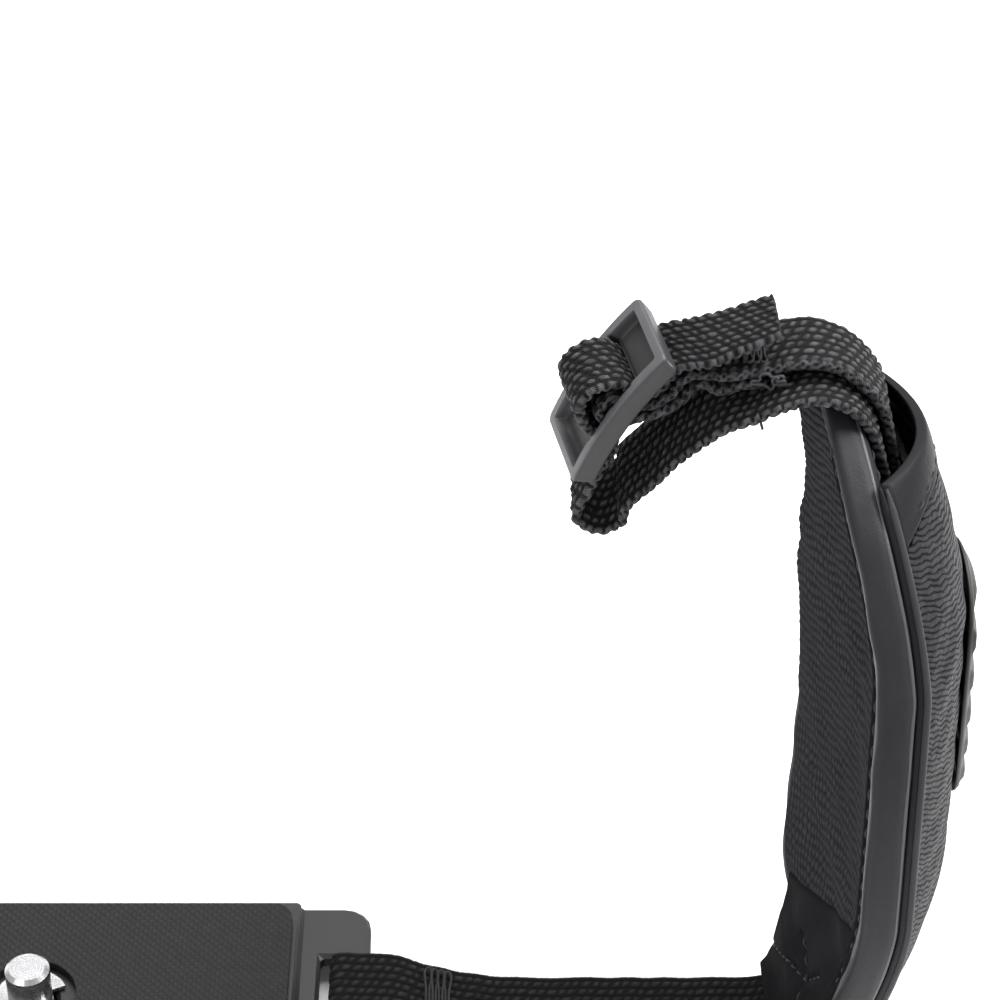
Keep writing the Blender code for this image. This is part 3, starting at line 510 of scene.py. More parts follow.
def pad_face_x(y, z):
    across = y - pad_middle_y(z)
    dish = np.where(across < 0, PAD_DISH_NEAR, PAD_DISH_FAR) * (across / (PAD_WIDTH / 2)) ** 2
    top = np.maximum(z - (PAD_TOP_Z - TOP_LEAN_SPAN), 0.0) / TOP_LEAN_SPAN
    foot = np.maximum(PAD_FOOT_Z + FOOT_LEAN_SPAN - z, 0.0) / FOOT_LEAN_SPAN
    lean = TOP_LEAN * top ** LEAN_POWER + FOOT_LEAN * foot ** LEAN_POWER
    return PAD_FACE_X - dish - PAD_TWIST * across - lean


def pad_point(depth, y, z):
    return np.stack([pad_face_x(y, z) + depth, y + 0 * z, z + 0 * y], axis=-1)


def cover_depth(y, z):
    across = (y - pad_middle_y(z)) / pad_half_width(z)
    filled = np.clip((z - COVER_FOOT_Z) / COVER_FOOT_SPAN, 0.0, 1.0)
    crown = COVER_FOOT_CROWN + (COVER_CROWN - COVER_FOOT_CROWN) * filled
    return COVER_EDGE_DEPTH + crown * np.maximum(1 - across ** 2, 0.0)


# Making pieces

def deselect():
    if bpy.context.object and bpy.context.object.mode != "OBJECT":
        bpy.ops.object.mode_set(mode="OBJECT")
    bpy.ops.object.select_all(action="DESELECT")


def pick(piece):
    deselect()
    piece.select_set(True)
    bpy.context.view_layer.objects.active = piece


def apply(piece, kind, **settings):
    """Add one modifier with its settings, and apply it."""
    pick(piece)
    modifier = piece.modifiers.new(kind.title(), kind)
    for name, value in settings.items():
        setattr(modifier, name, value)
    bpy.ops.object.modifier_apply(modifier=modifier.name)


def dress(piece, material, slot, *nodes):
    """Give a finished piece its material and the strap's body, and hide the nodes that it stands
    for.
    """
    piece.data.materials.clear()
    piece.data.materials.append(material)
    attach(piece, STRAP_BODY)
    if nodes:
        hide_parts(*nodes)


def moved_grid(name, columns, rows, place, uv_size=(1.0, 1.0)):
    """A grid whose points go to place(u, v), u and v running from 0 to 1 across and along.

    place returns the points, and may return each point's knob height as well."""
    deselect()
    bpy.ops.mesh.primitive_grid_add(x_subdivisions=columns, y_subdivisions=rows, size=2.0)
    piece = bpy.context.object
    piece.name = piece.data.name = name
    mesh = piece.data
    flat = np.empty(len(mesh.vertices) * 3)
    mesh.vertices.foreach_get("co", flat)
    flat = flat.reshape(-1, 3)
    made = place((flat[:, 0] + 1) / 2, (flat[:, 1] + 1) / 2)
    points, knob = made if isinstance(made, tuple) else (made, None)
    mesh.vertices.foreach_set("co", points.ravel())
    if knob is not None:
        mesh.attributes.new("knob", "FLOAT", "POINT").data.foreach_set("value", knob)
    uv = np.empty(len(mesh.loops) * 2)
    mesh.uv_layers[0].name = "UVMap"
    mesh.uv_layers[0].data.foreach_get("uv", uv)
    uv = uv.reshape(-1, 2) * np.array(uv_size)
    mesh.uv_layers[0].data.foreach_set("uv", uv.ravel())
    mesh.update()
    return piece


def close_tube(piece):
    """Merge a rolled grid's meeting columns and fill its two ends."""
    pick(piece)
    bpy.ops.object.mode_set(mode="EDIT")
    bpy.ops.mesh.select_all(action="SELECT")
    bpy.ops.mesh.remove_doubles(threshold=1e-6)
    bpy.ops.mesh.select_all(action="DESELECT")
    bpy.ops.mesh.select_mode(type="EDGE")
    bpy.ops.mesh.select_non_manifold()
    bpy.ops.mesh.edge_face_add()
    bpy.ops.mesh.select_all(action="SELECT")
    bpy.ops.mesh.normals_make_consistent(inside=False)
    bpy.ops.object.mode_set(mode="OBJECT")
    bpy.ops.object.shade_smooth()
    return piece


def smooth_route(stops, step):
    """Points and across directions, one step apart, on a smooth curve through the stops."""
    ends = np.array([[point, across] for point, across in stops], float)
    padded = np.concatenate([ends[:1], ends, ends[-1:]])
    shares = np.linspace(0, 1, 24, endpoint=False)[:, None, None]
    dense = []
    for index in range(len(ends) - 1):
        p0, p1, p2, p3 = padded[index:index + 4]
        dense.append(0.5 * (2 * p1 + (p2 - p0) * shares
                            + (2 * p0 - 5 * p1 + 4 * p2 - p3) * shares ** 2
                            + (3 * p1 - p0 - 3 * p2 + p3) * shares ** 3))
    dense = np.concatenate(dense + [ends[-1:]])
    lengths = np.concatenate([[0], np.cumsum(np.linalg.norm(np.diff(dense[:, 0], axis=0), axis=1))])
    at = np.linspace(0, lengths[-1], max(round(lengths[-1] / step), 2) + 1)
    route = np.stack([[np.interp(at, lengths, dense[:, kind, axis]) for axis in range(3)]
                      for kind in (0, 1)])
    points, across = route[0].T, route[1].T
    return points, across / np.linalg.norm(across, axis=1)[:, None], lengths[-1]


def unit(vectors):
    return vectors / np.linalg.norm(vectors, axis=-1)[..., None]


def strap_section(width, thickness, columns):
    """Round-edged strap section: across, height and their outward directions, and face."""
    flat = width / 2 - thickness / 2
    turn = np.linspace(0, 1, 7)[1:-1] * math.pi
    face = np.linspace(-flat, flat, columns)
    right = np.stack([flat + thickness / 2 * np.sin(turn), thickness / 2 * np.cos(turn)])
    across = np.concatenate([face, right[0], -face, -right[0], face[:1]])
    height = np.concatenate([np.full(columns, thickness / 2), right[1],
                             np.full(columns, -thickness / 2), -right[1], [thickness / 2]])
    out_across = np.concatenate([face * 0, np.sin(turn), face * 0, -np.sin(turn), [0.0]])
    out_up = np.concatenate([face * 0 + 1, np.cos(turn), face * 0 - 1, -np.cos(turn), [1.0]])
    return across, height, out_across, out_up


def woven_strap(name, stops, width, thickness, rib, weft, columns):
    """Flat webbing: rounded knobs in staggered ribs, and scalloped edges."""
    points, sideways, length = smooth_route(stops, WEBBING_STEP)
    along = unit(np.gradient(points, axis=0))
    normal = unit(np.cross(along, sideways))
    across, height, out_across, out_up = strap_section(width, thickness - 0.0002, columns)
    last_row, last_column = len(points) - 1, len(across) - 1

    def place(u, v):
        row, column = np.rint(v * last_row).astype(int), np.rint(u * last_column).astype(int)
        run = v * length / MM
        rib_at = across[column] / MM / rib + 0.5 + width / MM / rib
        number = np.floor(rib_at)
        bottom = out_up[column] < -0.5
        slant = 0.45 * (rib_at - number - 0.5)
        at_edge = np.abs(out_across[column]) > 0.3
        run_at = run / weft + 0.5 * (number % 2) + 0.5 * bottom + np.where(at_edge, 0.0, slant)
        run_at = run_at + 0.11 * np.sin(run * 1.7 + number * 2.1)
        run_at = run_at + 0.06 * np.sin(run * 4.1 - number)
        side = 1 - (2 * (rib_at - number) - 1) ** 2
        lift = 1 - (2 * (run_at - np.floor(run_at)) - 1) ** 2
        knob = np.clip(side, 0, 1) * np.clip(lift, 0, 1) ** 1.1
        knob = np.where(at_edge, np.clip(lift, 0, 1) ** 0.7, knob)
        swelling = WEBBING_SWELL * (knob - 0.35)
        wander = 0.00008 * np.sin(run * 0.9 + 1.3 * np.sin(run * 0.23)) * np.sign(across[column])
        a = across[column] + out_across[column] * swelling + wander
        h = height[column] + out_up[column] * swelling
        found = points[row] + sideways[row] * a[:, None] + normal[row] * h[:, None]
        return found, knob

    perimeter = 2 * width / MM
    piece = moved_grid(name, last_column, last_row, place, (perimeter, length / MM))
    return close_tube(piece)


def thread_line(name, points, radius):
    """A round thread through the points, as a mesh."""
    curve = bpy.data.curves.new(name, "CURVE")
    curve.dimensions = "3D"
    curve.bevel_depth, curve.bevel_resolution, curve.resolution_u = radius, 2, 6
    curve.use_fill_caps = True
    spline = curve.splines.new("BEZIER")
    spline.bezier_points.add(len(points) - 1)
    for knot, point in zip(spline.bezier_points, points):
        knot.co = point
        knot.handle_left_type = knot.handle_right_type = "AUTO"
    piece = bpy.data.objects.new(name, curve)
    bpy.context.scene.collection.objects.link(piece)
    pick(piece)
    bpy.ops.object.convert(target="MESH")
    return bpy.context.object


def tube(name, points, radius):
    """A round cord along a smooth line of points, thinner at both ends."""
    points = np.asarray(points, float)
    along = unit(np.gradient(points, axis=0))
    first = unit(np.cross(along, (1.0, 0.0, 0.0)))
    second = np.cross(along, first)
    last_row = len(points) - 1

    def place(u, v):
        row, turn = np.rint(v * last_row).astype(int), 2 * math.pi * u
        thin = radius * np.clip(np.minimum(v, 1 - v) * 25 + 0.35, 0, 1)
        return (points[row] + first[row] * (thin * np.cos(turn))[:, None]
                + second[row] * (thin * np.sin(turn))[:, None])

    return close_tube(moved_grid(name, 12, last_row, place))


def join(name, pieces):
    deselect()
    for piece in pieces:
        piece.select_set(True)
    bpy.context.view_layer.objects.active = pieces[0]
    bpy.ops.object.join()
    joined = bpy.context.object
    joined.name = joined.data.name = name
    bpy.ops.object.transform_apply(location=True, rotation=True, scale=True)
    return joined


def one_stitch(length, radius):
    """A plump thread stitch along X that dives at both ends."""
    deselect()
    bpy.ops.mesh.primitive_cylinder_add(vertices=8, radius=radius, depth=length,
                                        end_fill_type="NGON", rotation=(0.0, math.pi / 2, 0.0))
    stitch = bpy.context.object
    bpy.ops.object.transform_apply(rotation=True)
    bpy.ops.object.mode_set(mode="EDIT")
    for share in (-0.4, -0.2, 0.0, 0.2, 0.4):
        bpy.ops.mesh.select_all(action="SELECT")
        bpy.ops.mesh.bisect(plane_co=(share * length, 0, 0), plane_no=(1, 0, 0))
    bpy.ops.object.mode_set(mode="OBJECT")
    for vert in stitch.data.vertices:
        share = min(abs(vert.co.x) / (length / 2), 1.0)
        thin = 1 - 0.45 * share ** 3
        vert.co.y *= thin
        vert.co.z = vert.co.z * thin + radius * 0.55 - radius * 1.6 * share ** 2
    bpy.ops.object.shade_smooth()
    return stitch


def stitch_row(name, places, length, radius):
    """Copies of one stitch. places holds each one's centre, direction and outward normal."""
    first = one_stitch(length, radius)
    copies = []
    for centre, along, out in places:
        along, out = Vector(along).normalized(), Vector(out).normalized()
        side = out.cross(along).normalized()
        out = along.cross(side)
        copy = bpy.data.objects.new(name, first.data.copy())
        bpy.context.scene.collection.objects.link(copy)
        copy.matrix_world = Matrix.Translation(Vector(centre)) @ Matrix(
            (along, side, out)).transposed().to_4x4()
        copies.append(copy)
    bpy.data.objects.remove(first)
    return join(name, copies)


def stitches_along(points, out, pitch=STITCH_PITCH):
    """Stitch places one pitch apart on a line of points, with an outward normal at each."""
    points, out = np.asarray(points, float), np.asarray(out, float)
    lengths = np.concatenate([[0], np.cumsum(np.linalg.norm(np.diff(points, axis=0), axis=1))])
    count = max(int(lengths[-1] / pitch), 1)
    at = (np.arange(count) + 0.5) * lengths[-1] / count

    def sample(values, where):
        return np.stack([np.interp(where, lengths, values[:, axis]) for axis in range(3)], axis=1)

    before, after = sample(points, at - 4e-4), sample(points, at + 4e-4)
    return list(zip(sample(points, at), after - before, sample(out, at)))


# Cushion

def knit(y, z):
    """Bumps of the air mesh in staggered slanting rows, 0 in a hole and 1 on a knot."""
    wobble = 0.10 * np.sin(y * 740 + z * 310) + 0.08 * np.sin(z * 1130 - y * 520)
    row_at = z / KNIT_PITCH + y / 0.00330 + wobble
    row = np.floor(row_at)
    run_at = y / KNIT_PITCH - z / 0.0060 + 0.5 * (row % 2) + 1.6 * wobble
    rise = 1 - (2 * (row_at - row) - 1) ** 2
    lift = 1 - (2 * (run_at - np.floor(run_at)) - 1) ** 2
    return rise ** 0.8 * (0.35 + 0.65 * lift)


def points_of(piece):
    flat = np.empty(len(piece.data.vertices) * 3)
    piece.data.vertices.foreach_get("co", flat)
    return flat.reshape(-1, 3)


def lay_layers(piece, front, back_x):
    """Set a thickened grid's two layers: the front points, and a back straight behind at back_x."""
    both = points_of(piece)
    count = len(front)
    back = front.copy()
    back[:, 0] = back_x
    first_is_front = both[:count, 0].mean() < both[count:, 0].mean()
    layers = (front, back) if first_is_front else (back, front)
    piece.data.vertices.foreach_set("co", np.concatenate(layers).ravel())
    piece.data.update()


def cushion_front(y, z):
    """Depth of the cushion's hand face: crowned, and fuller on its far side."""
    side = np.clip((y - pad_middle_y(z)) / (pad_half_width(z) * rounding(z) + 1e-6), -1, 1)
    near_foot = np.clip((z - PAD_FOOT_Z) / FOOT_EASE, 0, 1)
    near_top = np.clip((CUSHION_TOP_Z - z) / TOP_EASE, 0, 1)
    far = np.interp(z, CROWN_HEIGHTS, CROWN_FAR)
    crown = CROWN_NEAR + (far - CROWN_NEAR) * np.clip((side + 0.3) / 0.9, 0, 1)
    crown *= (1 - np.abs(side) ** 8) ** 0.6
    crown *= np.sqrt(1 - (1 - near_foot) ** 2) * np.sqrt(1 - (1 - near_top) ** 2)
    sag = CUSHION_SAG * np.sin(z * 520 + 1.7 * np.sin(z * 210)) * near_foot * near_top
    return 0.0001 - crown - sag


def make_cushion(finishes):
    """Padded cushion with the mesh lining on its hand face and grey cloth behind."""
    def hand_face(u, v):
        z = PAD_FOOT_Z + (CUSHION_TOP_Z - LINING_TOP_GAP - PAD_FOOT_Z) * np.sin(math.pi / 2 * v)
        side = 2 * u - 1
        y = across_cushion(side, z)
        knob = knit(y, z)
        inside = np.clip((1 - np.abs(side)) * 14, 0, 1)
        return pad_point(cushion_front(y, z) - KNIT_LIFT * knob * inside, y, z), knob

    lining = moved_grid("hand_cushion", 190, 250, hand_face)
    front = points_of(lining)
    apply(lining, "SOLIDIFY", thickness=LINING_DEPTH, offset=1.0)
    lay_layers(lining, front, pad_face_x(front[:, 1], front[:, 2]) + LINING_DEPTH)
    pick(lining)
    bpy.ops.object.shade_smooth()
    dress(lining, finishes["lining"], "lining", "mesh_lining", "cushion_foam")

    def back_face(u, v):
        z = PAD_FOOT_Z + (CUSHION_TOP_Z - CLOTH_TOP_GAP - PAD_FOOT_Z) * np.sin(math.pi / 2 * v)
        y = across_cushion(2 * u - 1, z)
        rumple = 0.00008 * np.sin(y * 900) * np.sin(z * 700 + 2 * np.sin(y * 300))
        return pad_point(CUSHION_DEPTH - 0.0001 + rumple, y, z)

    back = moved_grid("cushion_back", 60, 90, back_face)
    apply(back, "SOLIDIFY", thickness=CLOTH_THICKNESS, offset=-1.0)
    dress(back, finishes["cloth"], "cloth", "cushion_backing")


def leaf_line(rows):
    """The cushion's outline up one side and down the other, as (y, z) rows."""
    straight = np.linspace(PAD_FOOT_Z, CUSHION_TOP_Z - CUSHION_TOP_ROUNDING, rows)
    turn = np.linspace(0, math.pi / 2, 24)[1:]
    z = np.concatenate([straight, CUSHION_TOP_Z - CUSHION_TOP_ROUNDING * (1 - np.sin(turn))])
    half = pad_half_width(z) * np.concatenate([np.ones(rows), np.cos(turn)])
    near = np.stack([pad_middle_y(z) - half, z], axis=1)
    far = np.stack([pad_middle_y(z) + half - far_corner(z), z], axis=1)[::-1][1:]
    return np.concatenate([near, far])


def make_leather_band(finishes):
    """Leather folded round the cushion's edge, drawn in a little at each stitch."""
    path = leaf_line(150)
    along = unit(np.gradient(path, axis=0))
    outward = np.stack([-along[:, 1], along[:, 0]], axis=1)
    reach = GAP + BINDING_THICKNESS
    inner, outer, corner = -reach, CUSHION_DEPTH + reach, BAND_CORNER
    turn = np.linspace(0, math.pi / 2, 11)
    front = np.stack([np.linspace(-BINDING_FLANGE, reach - corner, 9)[:-1], np.full(8, inner)])
    fold = np.stack([reach - corner + corner * np.sin(turn),
                     inner + corner - corner * np.cos(turn)])
    back_fold = np.stack([reach - corner + corner * np.cos(turn),
                          outer - corner + corner * np.sin(turn)])
    back = np.stack([np.linspace(reach - corner, -BINDING_FLANGE, 9)[1:], np.full(8, outer)])
    section = np.concatenate([front, fold, back_fold, back], axis=1).T
    steps = np.concatenate([[0], np.cumsum(np.linalg.norm(np.diff(path, axis=0), axis=1))])
    last_row, last_column = len(path) - 1, len(section) - 1
    rows = np.arange(len(path))
    far = smooth(rows, 0.38 * last_row, 0.50 * last_row)
    share = NEAR_FLANGE_SHARE + (FAR_FLANGE_SHARE - NEAR_FLANGE_SHARE) * far
    plump = NEAR_PLUMP * (1 - far) * smooth(rows, 0, 0.06 * last_row)

    def place(u, v):
        row, column = np.rint(v * last_row).astype(int), np.rint(u * last_column).astype(int)
        out, depth = section[column, 0], section[column, 1]
        on_hand = depth < CUSHION_DEPTH / 2
        pucker = np.exp(-((out + BINDING_FLANGE - BACK_SEAM_IN) / 0.0005) ** 2)
        pucker = pucker * (1 - 0.85 * on_hand)
        out = np.where(on_hand & (out < 0), out * share[row], out)
        pull = 0.5 + 0.5 * np.cos(2 * math.pi * steps[row] / STITCH_PITCH)
        facing = np.where(depth < CUSHION_DEPTH / 2, 1.0, -1.0)
        swell = 0.00010 * np.sin(steps[row] * 420 + 3 * np.sin(steps[row] * 97)) * (out > -0.001)
        drawn_in = pucker * (0.00012 + 0.00014 * pull) - swell
        depth = depth + facing * drawn_in - on_hand * plump[row]
        y = path[row, 0] + outward[row, 0] * out
        z = path[row, 1] + outward[row, 1] * out
        return pad_point(depth, y, z)

    band = moved_grid("leather_band", last_column, last_row, place)
    apply(band, "SOLIDIFY", thickness=BAND_SHEET, offset=-1.0)
    pick(band)
    bpy.ops.object.shade_smooth()
    dress(band, finishes["leather"], "leather", "edge_binding")

    # A pale cord along the band's back fold: a painted highlight where the fold catches the light.
    fold = path + outward * (reach - 0.35 * corner)
    edge = pad_point(outer - 0.35 * corner, fold[:, 0], fold[:, 1])
    highlight_piping = tube("band_piping", edge[2:-2], PIPING_RADIUS)
    dress(highlight_piping, finishes["highlight_piping"], "leather")

    def hand_line(in_by):
        """A line on the band's hand face, in from the flange's inner edge by a length."""
        line = path - outward * (BINDING_FLANGE * share - in_by)[:, None]
        return pad_point(inner - plump - 0.00003, line[:, 0], line[:, 1])[9:int(0.48 * len(path))]

    # A dark tube along the hand seam: painted shade of the seam line.
    hand_seam_shade = tube("band_seam_shade", hand_line(HAND_SEAM_IN), BAND_SEAM_RADIUS)
    dress(hand_seam_shade, finishes["tab"], "leather")

    seam = path - outward * (BINDING_FLANGE - BACK_SEAM_IN)
    back_line = pad_point(outer - 0.00002, seam[:, 0], seam[:, 1])[3:-3]
    places = []
    for facing, points in ((-1.0, hand_line(HAND_STITCH_IN)), (1.0, back_line)):
        places += stitches_along(points, np.tile([facing, 0.0, 0.0], (len(points), 1)))
    row = stitch_row("band_stitches", places, length=0.0021, radius=0.00017)
    dress(row, finishes["thread"], "thread")


# Outer cover

def make_cover(finishes):
    """Pebbled cover, its felt filling, and smooth bands round its mouth and foot."""
    def band_foot(share):
        """Lower edge of the mouth band, which runs down a little at both sides."""
        taper = np.clip((np.abs(share) - MOUTH_TAPER_FROM) / 0.45, 0, 1) ** 1.5
        return MOUTH_Z - MOUTH_BINDING_HEIGHT * (1 + MOUTH_TAPER * taper)

    def outside(u, v):
        share = 2 * u - 1
        z = COVER_FOOT_Z + (band_foot(share) - GAP - COVER_FOOT_Z) * v
        y = pad_middle_y(z) + share * pad_half_width(z)
        inside = np.clip((1 - np.abs(share)) * 20, 0, 1)
        slack = 0.00012 * np.sin(z * 900 + 2 * np.sin(y * 260)) * inside
        return pad_point(cover_depth(y, z) - 0.0001 + slack, y, z)

    cover = moved_grid("pebbled_cover", 110, 200, outside)
    apply(cover, "SOLIDIFY", thickness=COVER_THICKNESS - 0.0002, offset=-1.0, use_even_offset=True)
    pick(cover)
    bpy.ops.object.shade_smooth()
    dress(cover, finishes["cover"], "cover", "outer_cover")

    def filling(u, v):
        z = FELT_FOOT_Z + (FELT_TOP_Z - FELT_FOOT_Z) * v
        side = 2 * u - 1
        y = pad_middle_y(z) + side * FELT_SHARE * pad_half_width(z)
        return pad_point(PADDING_DEPTH + GAP + 0 * y, y, z)

    felt = moved_grid("cover_filling", 30, 50, filling)
    apply(felt, "SOLIDIFY", thickness=FELT_THICKNESS, offset=1.0)
    dress(felt, finishes["felt"], "foam", "cover_padding")

    def rolled_band(name, low_edge, high, node):
        def place(u, v):
            turn = 2 * math.pi * u
            up, out = np.cos(turn), np.sin(turn)
            height = 0.5 + 0.5 * np.sign(up) * np.abs(up) ** 0.45
            level = 0.5 + 0.5 * np.sign(out) * np.abs(out) ** 0.40
            low = low_edge(2 * v - 1)
            z = low + (high - low) * height
            y = pad_middle_y(z) + (2 * v - 1) * pad_half_width(z)
            outer = cover_depth(y, z) + BAND_PROUD
            inner = np.maximum(cover_depth(y, z) - MOUTH_BINDING_THICKNESS, FLANGE_DEPTH + GAP)
            seam = np.exp(-((height - 0.22) / 0.10) ** 2) * (out > 0)
            return pad_point(inner + (outer - inner) * level - BAND_SEAM_DEPTH * seam, y, z)

        band = close_tube(moved_grid(name, 40, 110, place))
        dress(band, finishes["mouth"], "leather", node)

    foot_low = COVER_FOOT_Z - GAP - FOOT_BINDING_HEIGHT
    rolled_band("mouth_band", band_foot, MOUTH_Z, "top_mouth_binding")
    rolled_band("foot_band", lambda share: foot_low + 0 * share, COVER_FOOT_Z - GAP,
                "bottom_mouth_binding")
    places = []
    for edge, rise, reach in ((band_foot, 0.0010, 0.80), (lambda share: foot_low, 0.0012, 0.93)):
        share = np.linspace(-reach, reach, 60)
        z = edge(share) + rise + 0 * share
        y = pad_middle_y(z) + share * pad_half_width(z)
        points = pad_point(cover_depth(y, z) + 0.00012, y, z)
        places += stitches_along(points, np.tile([1.0, 0.0, 0.0], (60, 1)), 0.0028)
    row = stitch_row("mouth_stitches", places, length=0.0019, radius=0.00014)
    dress(row, finishes["thread"], "thread")

    # The fold takes the paler side leather: painted light.
    z = np.linspace(PAD_FOOT_Z + 0.0002, MOUTH_Z - 0.0004, 160)
    for name, out, depth, radius, finish in (
            ("cover_fold", 0.0001, COVER_EDGE_DEPTH - 0.0004, COVER_FOLD_RADIUS, "side"),
            ("cover_welt", -0.0002, FLANGE_DEPTH + 0.0003, COVER_WELT_RADIUS, "mouth")):
        sides = []
        for side in (-1, 1):
            y = pad_middle_y(z) + side * (pad_half_width(z) + out)
            sides.append(tube(name, pad_point(depth, y, z), radius))
        dress(join(name, sides), finishes[finish], "leather")


def make_patch(finishes):
    """Lens-shaped moulded patch with plain cross ribs."""
    half_length, half_width = PATCH_LENGTH / 2, PATCH_WIDTH / 2

    def face(u, v):
        a, b = 2 * u - 1, 2 * v - 1
        across = a * np.sqrt(1 - b * b / 2) * half_width
        along = b * np.sqrt(1 - a * a / 2) * half_length
        z = PATCH_Z + along
        y = pad_middle_y(z) + across
        rim = np.maximum(np.abs(a), np.abs(b))
        inside = np.clip((1 - rim) * 7, 0, 1)
        dome = np.sqrt(np.clip(1 - np.clip((rim - 0.86) / 0.14, 0, 1) ** 2, 0, 1))
        wave = 0.5 + 0.5 * np.cos(2 * math.pi * PATCH_RIB_COUNT * along / PATCH_LENGTH)
        wave = np.clip(wave * 1.6 - 0.3, 0, 1)
        ribs = wave * np.clip(inside * 2 - 1, 0, 1)
        lift = PATCH_LIFT + PATCH_DOME * dome + PATCH_RIB_LIFT * ribs
        return pad_point(cover_depth(y, z) + lift, y, z)

    patch = moved_grid("grip_patch", 90, 140, face)
    apply(patch, "SOLIDIFY", thickness=PATCH_SHEET, offset=-1.0)
    pick(patch)
    bpy.ops.object.shade_smooth()
    dress(patch, finishes["patch"], "patch", "raised_patch")


# Straps

def slider_turn():
    turn = Matrix.Rotation(math.radians(SLIDER_YAW), 3, "Z")
    return turn @ Matrix.Rotation(math.radians(-SLIDER_TILT), 3, "Y")


def at_slider(along, out):
    drop = along ** 2 / (2 * SLIDER_BEND_RADIUS)
    turn = slider_turn()
    point = Vector(SLIDER_CENTRE) + turn @ Vector((along, 0.0, out - drop))
    return (tuple(point), tuple(turn @ Vector((0.0, 1.0, 0.0))))


def in_channel(z, depth, y):
    near = 0.001
    slope = (pad_face_x(y + near, z) - pad_face_x(y - near, z)) / (2 * near)
    return ((float(pad_face_x(y, z)) + depth, y, z), (float(slope), 1.0, 0.0))


def at_lug(angle, radius):
    turn, twist = math.radians(angle), math.radians(LUG_TWIST)
    return ((LUG[0] + radius * math.cos(turn), LUG[1], LUG[2] + radius * math.sin(turn)),
            (0.0, math.cos(twist), math.sin(twist)))


def over_top(x, z, y_offset):
    return ((PAD_FACE_X - TOP_LEAN + x, PAD_TOP_Y + y_offset, PAD_TOP_Z + z), ACROSS_Y)


def lug_strap_stops():
    """Channel, arch, lug loop, up through the slider, free tail."""
    loop = LUG_LOOP_RADIUS + STRAP_THICKNESS / 2
    under_bar = SLIDER_THICKNESS / 2 + GAP + STRAP_THICKNESS / 2 + 0.0001
    end_bar = SLIDER_LENGTH / 2 - SLIDER_END_BAR / 2
    slot_end = SLIDER_LENGTH / 2 - SLIDER_END_BAR
    threads = slot_end - GAP - STRAP_THICKNESS / 2
    side = LUG_STRAP_OFFSET
    stops = [in_channel(z, LOWER_STRAP_DEPTH, PAD_TOP_Y + side) for z in CHANNEL_HEIGHTS]
    stops += [over_top(x, z, side) for x, z in (
        (0.0066, -0.0038), (0.0053, -0.0012), (0.0040, 0.0004), (0.0019, 0.0018),
        (-0.0008, 0.0024), (-0.0041, 0.0018), (-0.0082, -0.0002))]
    stops += [((0.0843, 0.0106, 0.0961), (0.0, 0.98, 0.20)),
              ((0.0797, 0.0117, 0.0916), (0.0, 0.94, 0.34)),
              ((0.0762, 0.0120, 0.0874), (0.0, 0.93, 0.37))]
    stops += [at_lug(angle, loop) for angle in (10, -35, -80, -125, -170)]
    stops += [at_slider(along, out) for along, out in (
        (-end_bar - 0.0015, -under_bar), (-slot_end - 0.0012, -0.0029),
        (-threads - 0.0001, -0.0021), (-threads, 0.0000), (-threads, 0.0022),
        (-0.0014, 0.0046), (0.0016, 0.0044), (threads, 0.0022), (threads, 0.0000),
        (threads + 0.0001, -0.0021), (slot_end + 0.0012, -0.0029),
        (end_bar + 0.0012, -under_bar - 0.0004))]
    stops += [((0.0826, 0.0125, 0.1047), (-0.15, 0.98, 0.0)),
              ((0.0872, 0.0125, 0.1066), (-0.06, 0.99, -0.06)),
              ((0.0915, 0.0125, 0.1085), (-0.03, 0.99, -0.08))]
    return stops


def slider_strap_stops():
    """Channel, arch, round the slider's centre bar and back under itself."""
    wrap = 0.6 * SLIDER_CENTRE_BAR + GAP + STRAP_THICKNESS / 2
    side, apart = SLIDER_STRAP_OFFSET, STRAP_THICKNESS + GAP
    stops = [in_channel(z, UPPER_STRAP_DEPTH, PAD_TOP_Y + side) for z in CHANNEL_HEIGHTS]
    stops += [over_top(x, z, side) for x, z in (
        (0.0083, -0.0034), (0.0067, 0.0000), (0.0045, 0.0025), (0.0022, 0.0042),
        (-0.0010, 0.0052), (-0.0042, 0.0050))]
    stops += [((0.0890, 0.0133, 0.1027), ACROSS_Y), ((0.0850, 0.0129, 0.1024), (-0.1, 0.99, 0.0))]
    stops += [at_slider(along, out) for along, out in (
        (0.0085, -0.0049), (0.0050, -0.0047), (0.0026, -0.0034), (0.0019, -0.0015))]
    stops += [at_slider(wrap * math.cos(math.radians(angle)), wrap * math.sin(math.radians(angle)))
              for angle in (10, 55, 100, 145, 190, 230)]
    stops += [at_slider(along, out) for along, out in (
        (0.0002, -0.0031), (0.0021, -0.0051), (0.0047, -0.0065), (0.0080, -0.0069))]
    stops += [((0.0840, 0.0129, 0.1002), (-0.1, 0.99, 0.0)),
              ((0.0875, 0.0132, 0.1026 - 1.1 * apart), ACROSS_Y),
              ((0.0902, 0.0134, 0.1027 - 1.05 * apart), ACROSS_Y)]
    return stops


